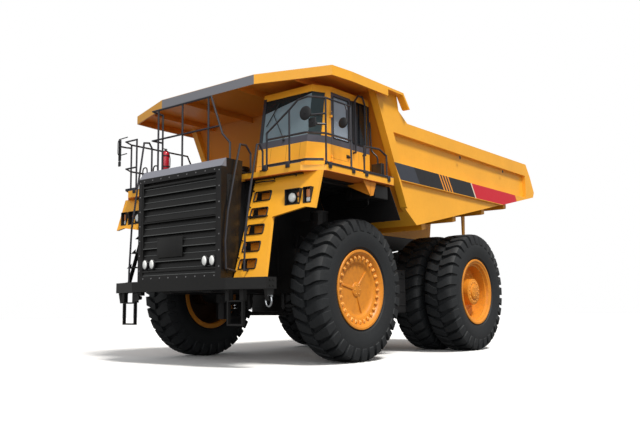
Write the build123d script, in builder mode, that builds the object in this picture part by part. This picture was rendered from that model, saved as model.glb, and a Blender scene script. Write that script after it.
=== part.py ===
"""Rigid mining dump truck, in millimetres.

The truck faces -Y, its left side is +X and Z is up. The origin is on the ground, under
the middle of the truck's overall length and width.
"""
from build123d import *
from math import cos, pi, sin, sqrt
import os

os.makedirs("parts", exist_ok=True)

# Wheels and stance
front_axle_y = -2700
wheelbase = 4350
tyre_radius = 1340
tyre_width = 730
tread_width = 600
lug_depth = 85
tread_lugs = 14
lug_tip_share = 0.19
wheel_sides = 16
shoulder_radius = 1225
sidewall_radius = 1010
pocket_radius = 790
bead_radius = 700
bead_width = 570
rim_flange_radius = 748
rim_flange_thickness = 28
front_tyre_x = 2010
rear_outer_tyre_x = 2230
rear_inner_tyre_x = 1380
axle_z = tyre_radius
rear_axle_y = front_axle_y + wheelbase
seat = 0.3
running_gap = 0.6

# Main frame, as distances behind the front axle where a name says d
rail_inner_x = 420
rail_width = 230
rail_outer_x = rail_inner_x + rail_width
rail_top_z = 1900
rail_depth = 550
rail_rise_d = 1500
rail_end_d = 5050
rail_taper_d = 3300
rail_end_rise = 600
rail_slope = rail_end_rise / (rail_end_d - rail_rise_d)
pivot_d = 5250
pivot_z = 2420
pivot_boss_radius = 150
pivot_pin_radius = 70

# Front end
front_overhang = 2500
bumper_top_z = 1535
bumper_height = 195
bumper_depth = 260
bumper_half_width = 2007
bumper_straight_half = 1250
bumper_sweep = 200
radiator_half_width = 1122
radiator_set_back = 25
radiator_face_top_z = 3486
radiator_bevel_rise = 160
radiator_bevel_run = 120
radiator_depth = 470
grille_border = 95
grille_recess = 130

# Steering and front suspension
kingpin_x = 1330
strut_barrel_radius = 170
strut_sides = 12
strut_barrel_bottom_z = 1880
strut_barrel_top_z = 2900
strut_rod_radius = 125
spindle_radius = 140
spindle_end_x = 2060
steering_arm_length = 520
cylinder_arm_length = 340
arm_half_width = 70
arm_thickness = 60
arm_clearance = 5
tie_rod_z = 900
tie_rod_radius = 40
tie_rod_ball_radius = 62
tie_rod_pin_radius = 25
ball_half_height = 45
steering_cylinder_radius = 58
steering_rod_radius = 32
steering_eye_radius = 52
steering_eye_half = 40
steering_anchor_x = 470
steering_anchor_d = -90
anchor_boss_radius = 56
anchor_washer_radius = 42
steering_pin_radius = 26
steering_barrel_length = 590
steering_rod_length = 640

# Decks and cab
deck_bottom_z = 3340
deck_thickness = 100
deck_top_z = deck_bottom_z + deck_thickness
deck_half_width = 2700
deck_half_width = 2700
deck_inner_x = 950
deck_front_d = -1800
deck_rear_d = 600
deck_chamfer_x = 350
deck_chamfer_y = 270
toe_board_height = 60
toe_board_thickness = 12
cab_inner_x = 1000
cab_side_x = deck_half_width - 365
cab_front_x = cab_side_x - 165
cab_corner_run = 340
cab_front_d = -1480
cab_lean = 260
cab_rear_d = 330
cab_top_z = 5030
cab_sill_z = 3950
cab_wall = 50
cab_floor = 60
cab_roof = 70
cab_pillar = 70
door_front_d = -900
door_rear_d = -290
door_gap = 6
hinge_stand_off = 18
hinge_pin_radius = 8
hinge_knuckle_radius = 16
hinge_leaf_length = 40
hinge_leaf_thickness = 10

# Body
body_half_width = 2600
body_side_thickness = 150
body_inner_half = body_half_width - body_side_thickness
floor_front_d = 1700
floor_front_z = 2670
floor_tail_d = 7820
floor_tail_z = 3920
floor_thickness = 90
floor_slope = (floor_tail_z - floor_front_z) / (floor_tail_d - floor_front_d)
wall_foot_d = 1220
wall_foot_z = 3000
wall_lean = 1000 / 2040
wall_thickness = 60
wall_set_back = 120
canopy_top_z = 5250
canopy_thickness = 50
canopy_fascia = 180
canopy_overhang = 150
canopy_half_width = body_half_width + canopy_overhang
canopy_front_d = -1820
canopy_lip = 40
rib_bottom_z = 3510
rib_top_z = 3860
top_rail_bottom_z = 4450
recess_depth = 90
lower_recess_depth = 60
beam_gap = 60

# Hoist cylinders
hoist_x = 830
hoist_foot_d = 3000
hoist_foot_z = 1250
hoist_head_d = 2700
hoist_head_drop = 190
hoist_barrel_radius = 125
hoist_stage_radius = 98
hoist_rod_radius = 65
hoist_eye_radius = 95
hoist_pin_radius = 50
hoist_eye_width = 140


def behind(d):
    """Y of a place d behind the front axle."""
    return front_axle_y + d


def side_points(points):
    """Outline points given as (d behind the front axle, z), as (y, z)."""
    return [(behind(d), z) for d, z in points]


def prism(plane, outline, depth, mode=Mode.ADD):
    """Adds or cuts a prism: a straight-sided outline drawn on plane, extruded by depth."""
    with BuildSketch(plane) as face:
        with BuildLine():
            Polyline(*outline, close=True)
        make_face()
    extrude(face.sketch, amount=depth, mode=mode)


def side_prism(outline, x_from, x_to, mode=Mode.ADD):
    """A prism with its outline seen from the side, as (d, z), between two x values."""
    prism(Plane.YZ.offset(min(x_from, x_to)), side_points(outline), abs(x_to - x_from), mode)


def plan_prism(outline, z_from, z_to, mode=Mode.ADD):
    """A prism with its outline seen from above, as (x, d), between two heights."""
    points = [(x, behind(d)) for x, d in outline]
    prism(Plane.XY.offset(z_from), points, z_to - z_from, mode)


def block(x_range, d_range, z_range, mode=Mode.ADD):
    """A box between two x values, two distances behind the front axle and two heights."""
    centre = (sum(x_range) / 2, behind(sum(d_range) / 2), sum(z_range) / 2)
    with Locations(centre):
        Box(
            abs(x_range[1] - x_range[0]),
            abs(d_range[1] - d_range[0]),
            abs(z_range[1] - z_range[0]),
            mode=mode,
        )

def round_bar(start, end, radius, mode=Mode.ADD, sides=12):
    """A faceted round bar, or a hole, from start to end, with radius to its flats."""
    direction = Vector(*end) - Vector(*start)
    with BuildSketch(Plane(origin=start, z_dir=direction)) as section:
        RegularPolygon(radius, sides, major_radius=False)
    extrude(section.sketch, amount=direction.length, mode=mode)


def turned_bar(start, end, radius, mode=Mode.ADD):
    """A truly round pin, rod or hole from start to end."""
    direction = Vector(*end) - Vector(*start)
    with BuildSketch(Plane(origin=start, z_dir=direction)) as section:
        Circle(radius)
    extrude(section.sketch, amount=direction.length, mode=mode)


def rail(points, radius, sides=6):
    """A handrail: a faceted tube along straight runs, mitred where they meet."""
    with BuildLine() as path:
        Polyline(*points)
    with BuildSketch(Plane(origin=path.line @ 0, z_dir=path.line % 0)) as section:
        RegularPolygon(radius, sides)
    sweep(section.sketch, path=path.line, transition=Transition.RIGHT)


def wheel_disc(x_from, x_to, y, radius, mode=Mode.ADD):
    """A faceted disc about the axle line at y, or its cut, between two x values."""
    with BuildSketch(Plane.YZ.offset(min(x_from, x_to))) as ring:
        with Locations((y, axle_z)):
            RegularPolygon(radius, wheel_sides, major_radius=False, rotation=180 / wheel_sides)
    extrude(ring.sketch, amount=abs(x_to - x_from), mode=mode)


def keep(part, name):
    """Names a finished piece and writes it."""
    part.label = name
    export_step(part, f"parts/{name}.step")


def rail_top(d):
    """Height of the frame rail's top face."""
    return rail_top_z + max(0, d - rail_rise_d) * rail_slope


def rail_under(d):
    """Height of the frame rail's underside behind its bend."""
    taper_bottom = rail_top(rail_taper_d) - rail_depth
    share = (d - rail_taper_d) / (pivot_d - rail_taper_d)
    return taper_bottom + share * (pivot_z - pivot_boss_radius - taper_bottom)


def floor_under(d):
    """Height of the body floor's underside."""
    return floor_front_z + (d - floor_front_d) * floor_slope


def wall_face(z):
    """Distance of the side plates' front edge behind the front axle, at height z."""
    return wall_foot_d - (z - wall_foot_z) * wall_lean


# Tyres
lug_pitch = 2 * pi / tread_lugs
lug_corners = [
    # share of the pitch from the lug's middle, radius
    (-0.25, tyre_radius - lug_depth),
    (-lug_tip_share, tyre_radius / cos(lug_tip_share * lug_pitch)),
    (lug_tip_share, tyre_radius / cos(lug_tip_share * lug_pitch)),
    (0.25, tyre_radius - lug_depth),
]


def add_tread_band(x_from, x_to, y, turn):
    """Half of a tread: a disc with lugs round it, turned by a share of their pitch."""
    outline = []
    for lug in range(tread_lugs):
        for share, radius in lug_corners:
            angle = (lug + turn + share) * lug_pitch
            outline.append((y + radius * sin(angle), axle_z - radius * cos(angle)))
    prism(Plane.YZ.offset(min(x_from, x_to)), outline, abs(x_to - x_from))


def add_carcass(x, y):
    """A tyre's carcass in the current part, with its sidewalls leaning in to the shoulders."""
    half = tyre_width / 2
    wheel_disc(x - half, x + half, y, shoulder_radius)
    for end in (-half, half):
        sidewall = faces().sort_by(lambda face: (face.center() - Vector(x + end, y, axle_z)).length)[0]
        chamfer(
            sidewall.edges(),
            length=shoulder_radius - sidewall_radius,
            length2=(tyre_width - tread_width) / 2,
            reference=sidewall,
        )


def finish_tyre(x, y):
    """The tread of a tyre on its carcass, with staggered lugs, and its bead pockets and bore."""
    add_tread_band(x, x + tread_width / 2, y, 0)
    add_tread_band(x - tread_width / 2, x, y, 0.5)
    for side in (1, -1):
        pocket_floor = x + side * bead_width / 2
        wheel_disc(pocket_floor, x + side * (tyre_width / 2 + 1), y, pocket_radius, Mode.SUBTRACT)
    wheel_disc(x - tyre_width / 2, x + tyre_width / 2, y, bead_radius + seat, Mode.SUBTRACT)


for side_name, side in (("left", 1), ("right", -1)):
    with BuildPart() as front_tyre:
        add_carcass(side * front_tyre_x, front_axle_y)
        finish_tyre(side * front_tyre_x, front_axle_y)
    keep(front_tyre.part, f"front_{side_name}_tyre")

    with BuildPart() as rear_tyres:
        for tyre_x in (rear_outer_tyre_x, rear_inner_tyre_x):
            add_carcass(side * tyre_x, rear_axle_y)
            finish_tyre(side * tyre_x, rear_axle_y)
    keep(rear_tyres.part, f"rear_{side_name}_tyres")

# Rims
bead_offset = bead_width / 2
dish_radius = 640
front_disc_inner = 120
front_disc_outer = 240
front_hub_radius = 300
front_hub_proud = 65
front_hub_back = 210
front_hub_bore_wall = 90
rear_dish_step = 90
rear_dish_radius = 585
rear_dish_depth = 330
rear_hub_radius = 300
rear_hub_proud = 150
rear_cap_radius = 170
rear_cap_proud = 35
rear_disc_thickness = 60
rear_hub_length = 620
axle_tube_radius = 230
axle_hub_wall = 80


def on_axle(side, x, y):
    """A point on an axle's line."""
    return (side * x, y, axle_z)


for side_name, side in (("left", 1), ("right", -1)):
    x_in = front_tyre_x - bead_offset
    x_out = front_tyre_x + bead_offset
    face = x_out + rim_flange_thickness
    disc_in = front_tyre_x + front_disc_inner
    disc_out = front_tyre_x + front_disc_outer
    hub_in = front_tyre_x - front_hub_back
    with BuildPart() as front_rim:
        wheel_disc(side * x_in, side * x_out, front_axle_y, bead_radius)
        for flange_x in (x_in - rim_flange_thickness, x_out):
            flange_end = flange_x + rim_flange_thickness
            wheel_disc(side * flange_x, side * flange_end, front_axle_y, rim_flange_radius)
        wheel_disc(side * disc_out, side * (face + 1), front_axle_y, dish_radius, Mode.SUBTRACT)
        wheel_disc(side * (x_in - 60), side * disc_in, front_axle_y, dish_radius, Mode.SUBTRACT)
        round_bar(
            on_axle(side, disc_out, front_axle_y),
            on_axle(side, disc_out + front_hub_proud, front_axle_y),
            front_hub_radius,
            sides=wheel_sides,
        )
        round_bar(
            on_axle(side, hub_in, front_axle_y),
            on_axle(side, disc_in, front_axle_y),
            spindle_radius + front_hub_bore_wall,
        )
        round_bar(
            on_axle(side, hub_in - 1, front_axle_y),
            on_axle(side, spindle_end_x + running_gap, front_axle_y),
            spindle_radius + running_gap,
            Mode.SUBTRACT,
        )
    keep(front_rim.part, f"front_{side_name}_rim")

    inner_edge = rear_inner_tyre_x - bead_offset
    outer_edge = rear_outer_tyre_x + bead_offset
    outer_face = outer_edge + rim_flange_thickness
    dish_bottom = outer_face - rear_dish_depth
    disc_in = dish_bottom - rear_disc_thickness
    hub_in = dish_bottom - rear_hub_length
    with BuildPart() as rear_rims:
        wheel_disc(side * inner_edge, side * outer_edge, rear_axle_y, bead_radius)
        for flange_x in (inner_edge - rim_flange_thickness, outer_edge):
            flange_end = flange_x + rim_flange_thickness
            wheel_disc(side * flange_x, side * flange_end, rear_axle_y, rim_flange_radius)
        for dish_depth, radius in ((rear_dish_step, dish_radius), (rear_dish_depth, rear_dish_radius)):
            dish_floor = outer_face - dish_depth
            wheel_disc(side * dish_floor, side * (outer_face + 1), rear_axle_y, radius, Mode.SUBTRACT)
        well_start = inner_edge - rim_flange_thickness - 1
        wheel_disc(side * well_start, side * disc_in, rear_axle_y, dish_radius, Mode.SUBTRACT)
        for radius, proud in (
            (rear_hub_radius, rear_hub_proud),
            (rear_cap_radius, rear_hub_proud + rear_cap_proud),
        ):
            round_bar(
                on_axle(side, dish_bottom, rear_axle_y),
                on_axle(side, dish_bottom + proud, rear_axle_y),
                radius,
                sides=wheel_sides,
            )
        round_bar(
            on_axle(side, hub_in, rear_axle_y),
            on_axle(side, disc_in, rear_axle_y),
            axle_tube_radius + axle_hub_wall,
        )
        round_bar(
            on_axle(side, hub_in - 1, rear_axle_y),
            on_axle(side, disc_in, rear_axle_y),
            axle_tube_radius + running_gap,
            Mode.SUBTRACT,
        )
    keep(rear_rims.part, f"rear_{side_name}_rims")

# Steering anchors hang under the rails, beside the knuckle arms
arm_gap = ball_half_height + arm_clearance
low_arm_z = tie_rod_z - arm_gap - arm_thickness
middle_arm_z = tie_rod_z + arm_gap
steering_cylinder_z = middle_arm_z + arm_thickness + arm_clearance + steering_eye_half
top_arm_z = steering_cylinder_z + steering_eye_half + arm_clearance
steering_boss_z = steering_cylinder_z + steering_eye_half + arm_clearance
steering_pin_end_z = steering_cylinder_z - steering_eye_half - arm_clearance - 20

# Main frame: two box rails, the front suspension arch, cross members and the body pivot
frame_front_d = bumper_depth - front_overhang
nose_top_z = bumper_top_z
nose_end_d = -1880
rail_bottom_z = 1300
arch_half_length = 210
arch_bottom_z = 2230
arch_top_z = 2700
cross_members = [
    # d from, d to, z from, z to
    (frame_front_d, frame_front_d + 220, 1320, 1520),
    (950, 1100, 1700, 1860),
    (2750, 2950, 1750, 2000),
    (pivot_d - 350, pivot_d - 150, pivot_z - 270, pivot_z - 20),
]
rail_outline = [
    (frame_front_d, rail_bottom_z),
    (frame_front_d, nose_top_z),
    (nose_end_d, nose_top_z),
    (nose_end_d + 150, rail_top_z),
    (rail_rise_d, rail_top_z),
    (pivot_d, rail_top(pivot_d)),
    (pivot_d, pivot_z - pivot_boss_radius),
    (rail_taper_d, rail_under(rail_taper_d)),
    (rail_rise_d, rail_bottom_z),
]
hoist_bracket = [
    (hoist_foot_d - 200, rail_top(hoist_foot_d) - 200),
    (hoist_foot_d + 200, rail_top(hoist_foot_d) - 200),
    (hoist_foot_d + 110, hoist_foot_z - 110),
    (hoist_foot_d - 110, hoist_foot_z - 110),
]
deck_post_places = [-1560, 420]
deck_post_half = 70
pin_head = 20
with BuildPart() as main_frame:
    for side in (1, -1):
        side_prism(rail_outline, side * rail_inner_x, side * rail_outer_x)
        round_bar(
            (side * rail_inner_x, behind(pivot_d), pivot_z),
            (side * rail_outer_x, behind(pivot_d), pivot_z),
            pivot_boss_radius,
        )
        turned_bar(
            (side * (rail_outer_x - 30), behind(pivot_d), pivot_z),
            (side * (rail_outer_x + 120), behind(pivot_d), pivot_z),
            pivot_pin_radius,
        )
        side_prism(hoist_bracket, side * (rail_outer_x - 40), side * rail_outer_x)
        turned_bar(
            (side * rail_outer_x, behind(hoist_foot_d), hoist_foot_z),
            (side * (hoist_x + hoist_eye_width / 2 + pin_head), behind(hoist_foot_d), hoist_foot_z),
            hoist_pin_radius,
        )
        block(
            (side * rail_inner_x, side * rail_outer_x),
            (-arch_half_length, arch_half_length),
            (rail_top_z, arch_bottom_z),
        )
        for post_d in deck_post_places:
            block(
                (side * (rail_outer_x - 2 * deck_post_half), side * rail_outer_x),
                (post_d - deck_post_half, post_d + deck_post_half),
                (rail_top_z, deck_bottom_z),
            )
        anchor_at = (side * steering_anchor_x, behind(steering_anchor_d))
        boss_end = (*anchor_at, steering_boss_z)
        pin_end = (*anchor_at, steering_pin_end_z)
        round_bar(boss_end, (*anchor_at, rail_bottom_z + 5), anchor_boss_radius, sides=8)
        turned_bar(pin_end, (*anchor_at, steering_boss_z + 10), steering_pin_radius)
        round_bar(pin_end, (*anchor_at, steering_pin_end_z + 20), anchor_washer_radius, sides=8)
    for d_from, d_to, z_from, z_to in cross_members:
        block((-rail_inner_x, rail_inner_x), (d_from, d_to), (z_from, z_to))
    block(
        (-kingpin_x, kingpin_x),
        (-arch_half_length, arch_half_length),
        (arch_bottom_z, arch_top_z),
    )
    for side in (1, -1):
        round_bar(
            (side * kingpin_x, front_axle_y, arch_bottom_z - 1),
            (side * kingpin_x, front_axle_y, arch_top_z + 1),
            strut_barrel_radius + seat,
            Mode.SUBTRACT,
            strut_sides,
        )
keep(main_frame.part, "main_frame")

# Front bumper with its tow lugs
bumper_bottom_z = bumper_top_z - bumper_height
tow_lug_x = 1950
tow_lug_half = 30
tow_lug_bottom_z = 1140
tow_hole_radius = 35
tow_hole_z = 1200
bumper_front_d = -front_overhang
bumper_plan = [
    (-bumper_half_width, bumper_front_d + bumper_sweep),
    (-bumper_straight_half, bumper_front_d),
    (bumper_straight_half, bumper_front_d),
    (bumper_half_width, bumper_front_d + bumper_sweep),
    (bumper_half_width, bumper_front_d + bumper_sweep + bumper_depth),
    (bumper_straight_half, bumper_front_d + bumper_depth),
    (-bumper_straight_half, bumper_front_d + bumper_depth),
    (-bumper_half_width, bumper_front_d + bumper_sweep + bumper_depth),
]
tow_lug = [
    (bumper_front_d + bumper_sweep + 40, bumper_bottom_z),
    (bumper_front_d + bumper_sweep + 230, bumper_bottom_z),
    (bumper_front_d + bumper_sweep + 180, tow_lug_bottom_z),
    (bumper_front_d + bumper_sweep + 80, tow_lug_bottom_z),
]
tow_hole_d = bumper_front_d + bumper_sweep + 130
with BuildPart() as front_bumper:
    plan_prism(bumper_plan, bumper_bottom_z, bumper_top_z)
    for side in (1, -1):
        lug_in = side * (tow_lug_x - tow_lug_half)
        lug_out = side * (tow_lug_x + tow_lug_half)
        side_prism(tow_lug, lug_in, lug_out)
        turned_bar(
            (lug_in - side, behind(tow_hole_d), tow_hole_z),
            (lug_out + side, behind(tow_hole_d), tow_hole_z),
            tow_hole_radius,
            Mode.SUBTRACT,
        )
keep(front_bumper.part, "front_bumper")

# Radiator housing with its open front, and the louvred grille in it
radiator_front_d = radiator_set_back - front_overhang
radiator_top_z = radiator_face_top_z + radiator_bevel_rise
grille_bottom_z = bumper_top_z + grille_border
grille_top_z = radiator_face_top_z - grille_border
grille_half = radiator_half_width - grille_border
louvre_count = 7
housing_outline = [
    (radiator_front_d, bumper_top_z),
    (radiator_front_d, radiator_face_top_z),
    (radiator_front_d + radiator_bevel_run, radiator_top_z),
    (radiator_front_d + radiator_depth + 60, radiator_top_z),
    (radiator_front_d + radiator_depth - 80, bumper_top_z),
]
with BuildPart() as radiator_housing:
    side_prism(housing_outline, -radiator_half_width, radiator_half_width)
    block(
        (-grille_half, grille_half),
        (radiator_front_d - 1, radiator_front_d + grille_recess),
        (grille_bottom_z, grille_top_z),
        Mode.SUBTRACT,
    )
keep(radiator_housing.part, "radiator_housing")

louvre_pitch = (grille_top_z - grille_bottom_z) / louvre_count
louvre_tilt = 60
louvre_thickness = 25
grille_side_bar = 40
grille_back_d = radiator_front_d + grille_recess
with BuildPart() as radiator_grille:
    for row in range(louvre_count):
        low = grille_bottom_z + row * louvre_pitch + seat
        high = low + louvre_pitch - 2 * seat
        louvre = [
            (radiator_front_d + 12, low),
            (radiator_front_d + 12 + louvre_tilt, high),
            (radiator_front_d + 12 + louvre_tilt + louvre_thickness, high),
            (radiator_front_d + 12 + louvre_thickness, low),
        ]
        side_prism(louvre, -(grille_half - seat), grille_half - seat)
    for side in (1, -1):
        block(
            (side * (grille_half - grille_side_bar), side * (grille_half - seat)),
            (radiator_front_d + 5, grille_back_d),
            (grille_bottom_z + seat, grille_top_z - seat),
        )
keep(radiator_grille.part, "radiator_grille")

# Engine, transmission, hood and drive line
hood_half_width = 760
hood_bottom_z = 2950
hood_top_z = 3560
hood_front_d = radiator_front_d + radiator_depth + 62
hood_rear_d = -300
engine_half_width = 400
engine_bottom_z = 1450
engine_front_d = -1850
engine_rear_d = -350
post_clearance = 30
with BuildPart() as engine_hood:
    side_prism(
        [
            (hood_front_d, hood_bottom_z),
            (hood_front_d, hood_top_z),
            (hood_rear_d, hood_top_z),
            (hood_rear_d, hood_bottom_z),
        ],
        -hood_half_width,
        hood_half_width,
    )
    for side in (1, -1):
        block(
            (
                side * (rail_outer_x - 2 * deck_post_half - post_clearance),
                side * (hood_half_width + 1),
            ),
            (
                deck_post_places[0] - deck_post_half - post_clearance,
                deck_post_places[0] + deck_post_half + post_clearance,
            ),
            (hood_bottom_z - 1, hood_top_z - 40),
            Mode.SUBTRACT,
        )
keep(engine_hood.part, "engine_hood")

with BuildPart() as engine_block:
    block(
        (-engine_half_width, engine_half_width),
        (engine_front_d, engine_rear_d),
        (engine_bottom_z, hood_bottom_z),
    )
keep(engine_block.part, "engine_block")

transmission_radius = 330
transmission_z = 1560
transmission_front_d = 1460
transmission_rear_d = 2600
shaft_radius = 75
flange_radius = 100
shaft_flange_length = 120
converter_d = 1200
shaft_front = Vector(0, behind(transmission_rear_d + 50), transmission_z - 60)
shaft_rear = Vector(0, behind(wheelbase - 460), axle_z + 60)
shaft_way = (shaft_rear - shaft_front).normalized()
with BuildPart() as transmission:
    round_bar(
        (0, behind(transmission_front_d), transmission_z),
        (0, behind(transmission_rear_d), transmission_z),
        transmission_radius,
        sides=16,
    )
    round_bar(shaft_front - shaft_way * shaft_flange_length, shaft_front, flange_radius)
    block((-rail_inner_x, rail_inner_x), (1850, 2000), (1500, 1620))
    round_bar(
        (0, behind(converter_d), transmission_z),
        (0, behind(transmission_front_d), transmission_z),
        flange_radius,
    )
keep(transmission.part, "transmission")

with BuildPart() as drive_shaft:
    round_bar(shaft_front, shaft_rear, shaft_radius)
    round_bar(
        (0, behind(engine_rear_d), transmission_z),
        (0, behind(converter_d), transmission_z),
        shaft_radius,
    )
keep(drive_shaft.part, "drive_shaft")

# Front suspension struts and rear axle
rear_strut_x = 560
rear_strut_radius = 110
rear_seat_half = 130
rear_strut_top_z = rail_under(wheelbase - rear_seat_half) - 25
with BuildPart() as suspension_struts:
    for side in (1, -1):
        round_bar(
            (side * kingpin_x, front_axle_y, strut_barrel_bottom_z),
            (side * kingpin_x, front_axle_y, strut_barrel_top_z),
            strut_barrel_radius,
            sides=strut_sides,
        )
        round_bar(
            (side * rear_strut_x, rear_axle_y, axle_z + 300),
            (side * rear_strut_x, rear_axle_y, rear_strut_top_z),
            rear_strut_radius,
        )
        side_prism(
            [
                (wheelbase - rear_seat_half, rear_strut_top_z),
                (wheelbase + rear_seat_half, rear_strut_top_z),
                (wheelbase + rear_seat_half, rail_under(wheelbase + rear_seat_half)),
                (wheelbase - rear_seat_half, rail_under(wheelbase - rear_seat_half)),
            ],
            side * rail_inner_x,
            side * rail_outer_x,
        )
keep(suspension_struts.part, "suspension_struts")

banjo_radius = 420
axle_tube_end_x = rear_outer_tyre_x + bead_offset + rim_flange_thickness - rear_dish_depth
axle_tube_end_x -= rear_disc_thickness + running_gap
with BuildPart() as rear_axle_housing:
    round_bar((-330, rear_axle_y, axle_z), (330, rear_axle_y, axle_z), banjo_radius, sides=16)
    round_bar(shaft_rear, shaft_rear + shaft_way * 200, flange_radius)
    turned_bar(
        (-axle_tube_end_x, rear_axle_y, axle_z),
        (axle_tube_end_x, rear_axle_y, axle_z),
        axle_tube_radius,
    )
    block(
        (-680, 680),
        (wheelbase - 160, wheelbase + 160),
        (axle_z, axle_z + 300 - seat),
    )
keep(rear_axle_housing.part, "rear_axle_housing")

# Knuckles: the strut's rod, its spindle and the steering arms
spindle_root_radius = 190
column_radius = 150
knuckle_radius = 210
steering_arms = [
    # bottom, reach behind the kingpin
    (low_arm_z, steering_arm_length + 75),
    (middle_arm_z, steering_arm_length + 75),
    (top_arm_z, cylinder_arm_length + 60),
]
for side_name, side in (("left", 1), ("right", -1)):
    x = side * kingpin_x
    with BuildPart() as knuckle:
        turned_bar(
            (x, front_axle_y, axle_z - 150),
            (x, front_axle_y, strut_barrel_bottom_z - running_gap),
            strut_rod_radius,
        )
        column_foot = (x, front_axle_y, low_arm_z)
        round_bar(column_foot, (x, front_axle_y, axle_z - 100), column_radius, sides=8)
        round_bar((x, front_axle_y, axle_z - 200), (x, front_axle_y, axle_z + 230), knuckle_radius)
        round_bar(
            (x, front_axle_y, axle_z),
            (side * (front_tyre_x - 215), front_axle_y, axle_z),
            spindle_root_radius,
        )
        turned_bar(
            (x, front_axle_y, axle_z),
            (side * spindle_end_x, front_axle_y, axle_z),
            spindle_radius,
        )
        for arm_bottom, arm_reach in steering_arms:
            block(
                (x - arm_half_width, x + arm_half_width),
                (0, arm_reach),
                (arm_bottom, arm_bottom + arm_thickness),
            )
        turned_bar(
            (x, behind(steering_arm_length), low_arm_z + 1),
            (x, behind(steering_arm_length), middle_arm_z + 1),
            tie_rod_pin_radius,
        )
    keep(knuckle.part, f"{side_name}_knuckle")

# Tie rod
with BuildPart() as tie_rod:
    round_bar(
        (-kingpin_x, behind(steering_arm_length), tie_rod_z),
        (kingpin_x, behind(steering_arm_length), tie_rod_z),
        tie_rod_radius,
    )
    for side in (1, -1):
        round_bar(
            (side * kingpin_x, behind(steering_arm_length), tie_rod_z - ball_half_height),
            (side * kingpin_x, behind(steering_arm_length), tie_rod_z + ball_half_height),
            tie_rod_ball_radius,
        )
        round_bar(
            (side * kingpin_x, behind(steering_arm_length), tie_rod_z - ball_half_height - 1),
            (side * kingpin_x, behind(steering_arm_length), tie_rod_z + ball_half_height + 1),
            tie_rod_pin_radius + running_gap,
            Mode.SUBTRACT,
        )
keep(tie_rod.part, "tie_rod")

# Steering cylinders, each from an anchor under its frame rail to its knuckle
steering_run = kingpin_x - steering_anchor_x
steering_back = cylinder_arm_length - steering_anchor_d
steering_length = sqrt(steering_run**2 + steering_back**2)
steering_neck = 75
steering_eye_low = steering_cylinder_z - steering_eye_half
steering_eye_high = steering_cylinder_z + steering_eye_half


def steering_point(side, along, z=steering_cylinder_z):
    """A point on a steering cylinder's axis, so far from its anchor."""
    share = along / steering_length
    return (
        side * (steering_anchor_x + steering_run * share),
        behind(steering_anchor_d + steering_back * share),
        z,
    )


for side_name, side in (("left", 1), ("right", -1)):
    with BuildPart() as steering_barrel:
        round_bar(
            steering_point(side, steering_neck),
            steering_point(side, steering_barrel_length),
            steering_cylinder_radius,
        )
        round_bar(steering_point(side, 0), steering_point(side, steering_neck + 5), 34)
        round_bar(
            steering_point(side, 0, steering_eye_low),
            steering_point(side, 0, steering_eye_high),
            steering_eye_radius,
        )
        round_bar(
            steering_point(side, 0, steering_eye_low - 1),
            steering_point(side, 0, steering_eye_high + 1),
            steering_pin_radius + running_gap,
            Mode.SUBTRACT,
        )
        round_bar(
            steering_point(side, steering_neck + 40),
            steering_point(side, steering_barrel_length + 1),
            steering_rod_radius + running_gap,
            Mode.SUBTRACT,
        )
    keep(steering_barrel.part, f"{side_name}_steering_barrel")
    with BuildPart() as steering_rod:
        turned_bar(
            steering_point(side, steering_length - steering_rod_length),
            steering_point(side, steering_length),
            steering_rod_radius,
        )
        round_bar(
            steering_point(side, steering_length, steering_eye_low),
            steering_point(side, steering_length, steering_eye_high),
            steering_eye_radius,
        )
    keep(steering_rod.part, f"{side_name}_steering_rod")

# Decks
deck_plan = [
    # x, d
    (deck_inner_x, deck_front_d),
    (deck_half_width - deck_chamfer_x, deck_front_d),
    (deck_half_width, deck_front_d + deck_chamfer_y),
    (deck_half_width, deck_rear_d),
    (deck_inner_x, deck_rear_d),
]
deck_link_d = [(deck_post_places[0] - 90, deck_post_places[0] + 90), (330, 510)]
with BuildPart() as deck_platform:
    for side in (1, -1):
        plan_prism([(side * x, d) for x, d in deck_plan], deck_bottom_z, deck_top_z)
        for d_from, d_to in deck_link_d:
            block(
                (side * (rail_outer_x - 2 * deck_post_half), side * (deck_inner_x + 1)),
                (d_from, d_to),
                (deck_bottom_z, deck_top_z),
            )
        for d_from, d_to in ((deck_front_d + deck_chamfer_y + 20, -740), (-330, deck_rear_d)):
            block(
                (side * (deck_half_width - toe_board_thickness), side * deck_half_width),
                (d_from, d_to),
                (deck_top_z - 1, deck_top_z + toe_board_height),
            )
        block(
            (side * (cab_inner_x + 640), side * (deck_half_width - deck_chamfer_x)),
            (deck_front_d, deck_front_d + toe_board_thickness),
            (deck_top_z - 1, deck_top_z + toe_board_height),
        )
keep(deck_platform.part, "deck_platform")

# Fenders: the left one is the ladder tower with its step holes
tower_foot_z = bumper_top_z
tower_slope = 0.314
tower_foot_d = -2190
tower_plate = 60
tower_inner_x = 1145
fender_outer_x = deck_half_width - 30
step_pitch = 307
step_first_z = 1690
step_height = 170
step_x = (1215, 1610)
lamp_x = (1990, 2330)
lamp_z = (2770, 3050)
signal_x = (2400, 2570)
tower_face = [
    # x, z seen from the front
    (tower_inner_x, tower_foot_z),
    (1890, tower_foot_z),
    (1750, 2590),
    (2460, 2710),
    (fender_outer_x, 2670),
    (fender_outer_x, deck_bottom_z),
    (tower_inner_x, deck_bottom_z),
]
fender_face = [
    (1990, 2640),
    (2460, 2710),
    (fender_outer_x, 2670),
    (fender_outer_x, deck_bottom_z),
    (1990, deck_bottom_z),
]
tower_shadow = [
    (tower_foot_d, tower_foot_z),
    (tower_foot_d + (deck_bottom_z - tower_foot_z) * tower_slope, deck_bottom_z),
    (tower_foot_d + (deck_bottom_z - tower_foot_z) * tower_slope + tower_plate, deck_bottom_z),
    (tower_foot_d + tower_plate, tower_foot_z),
]


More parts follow.
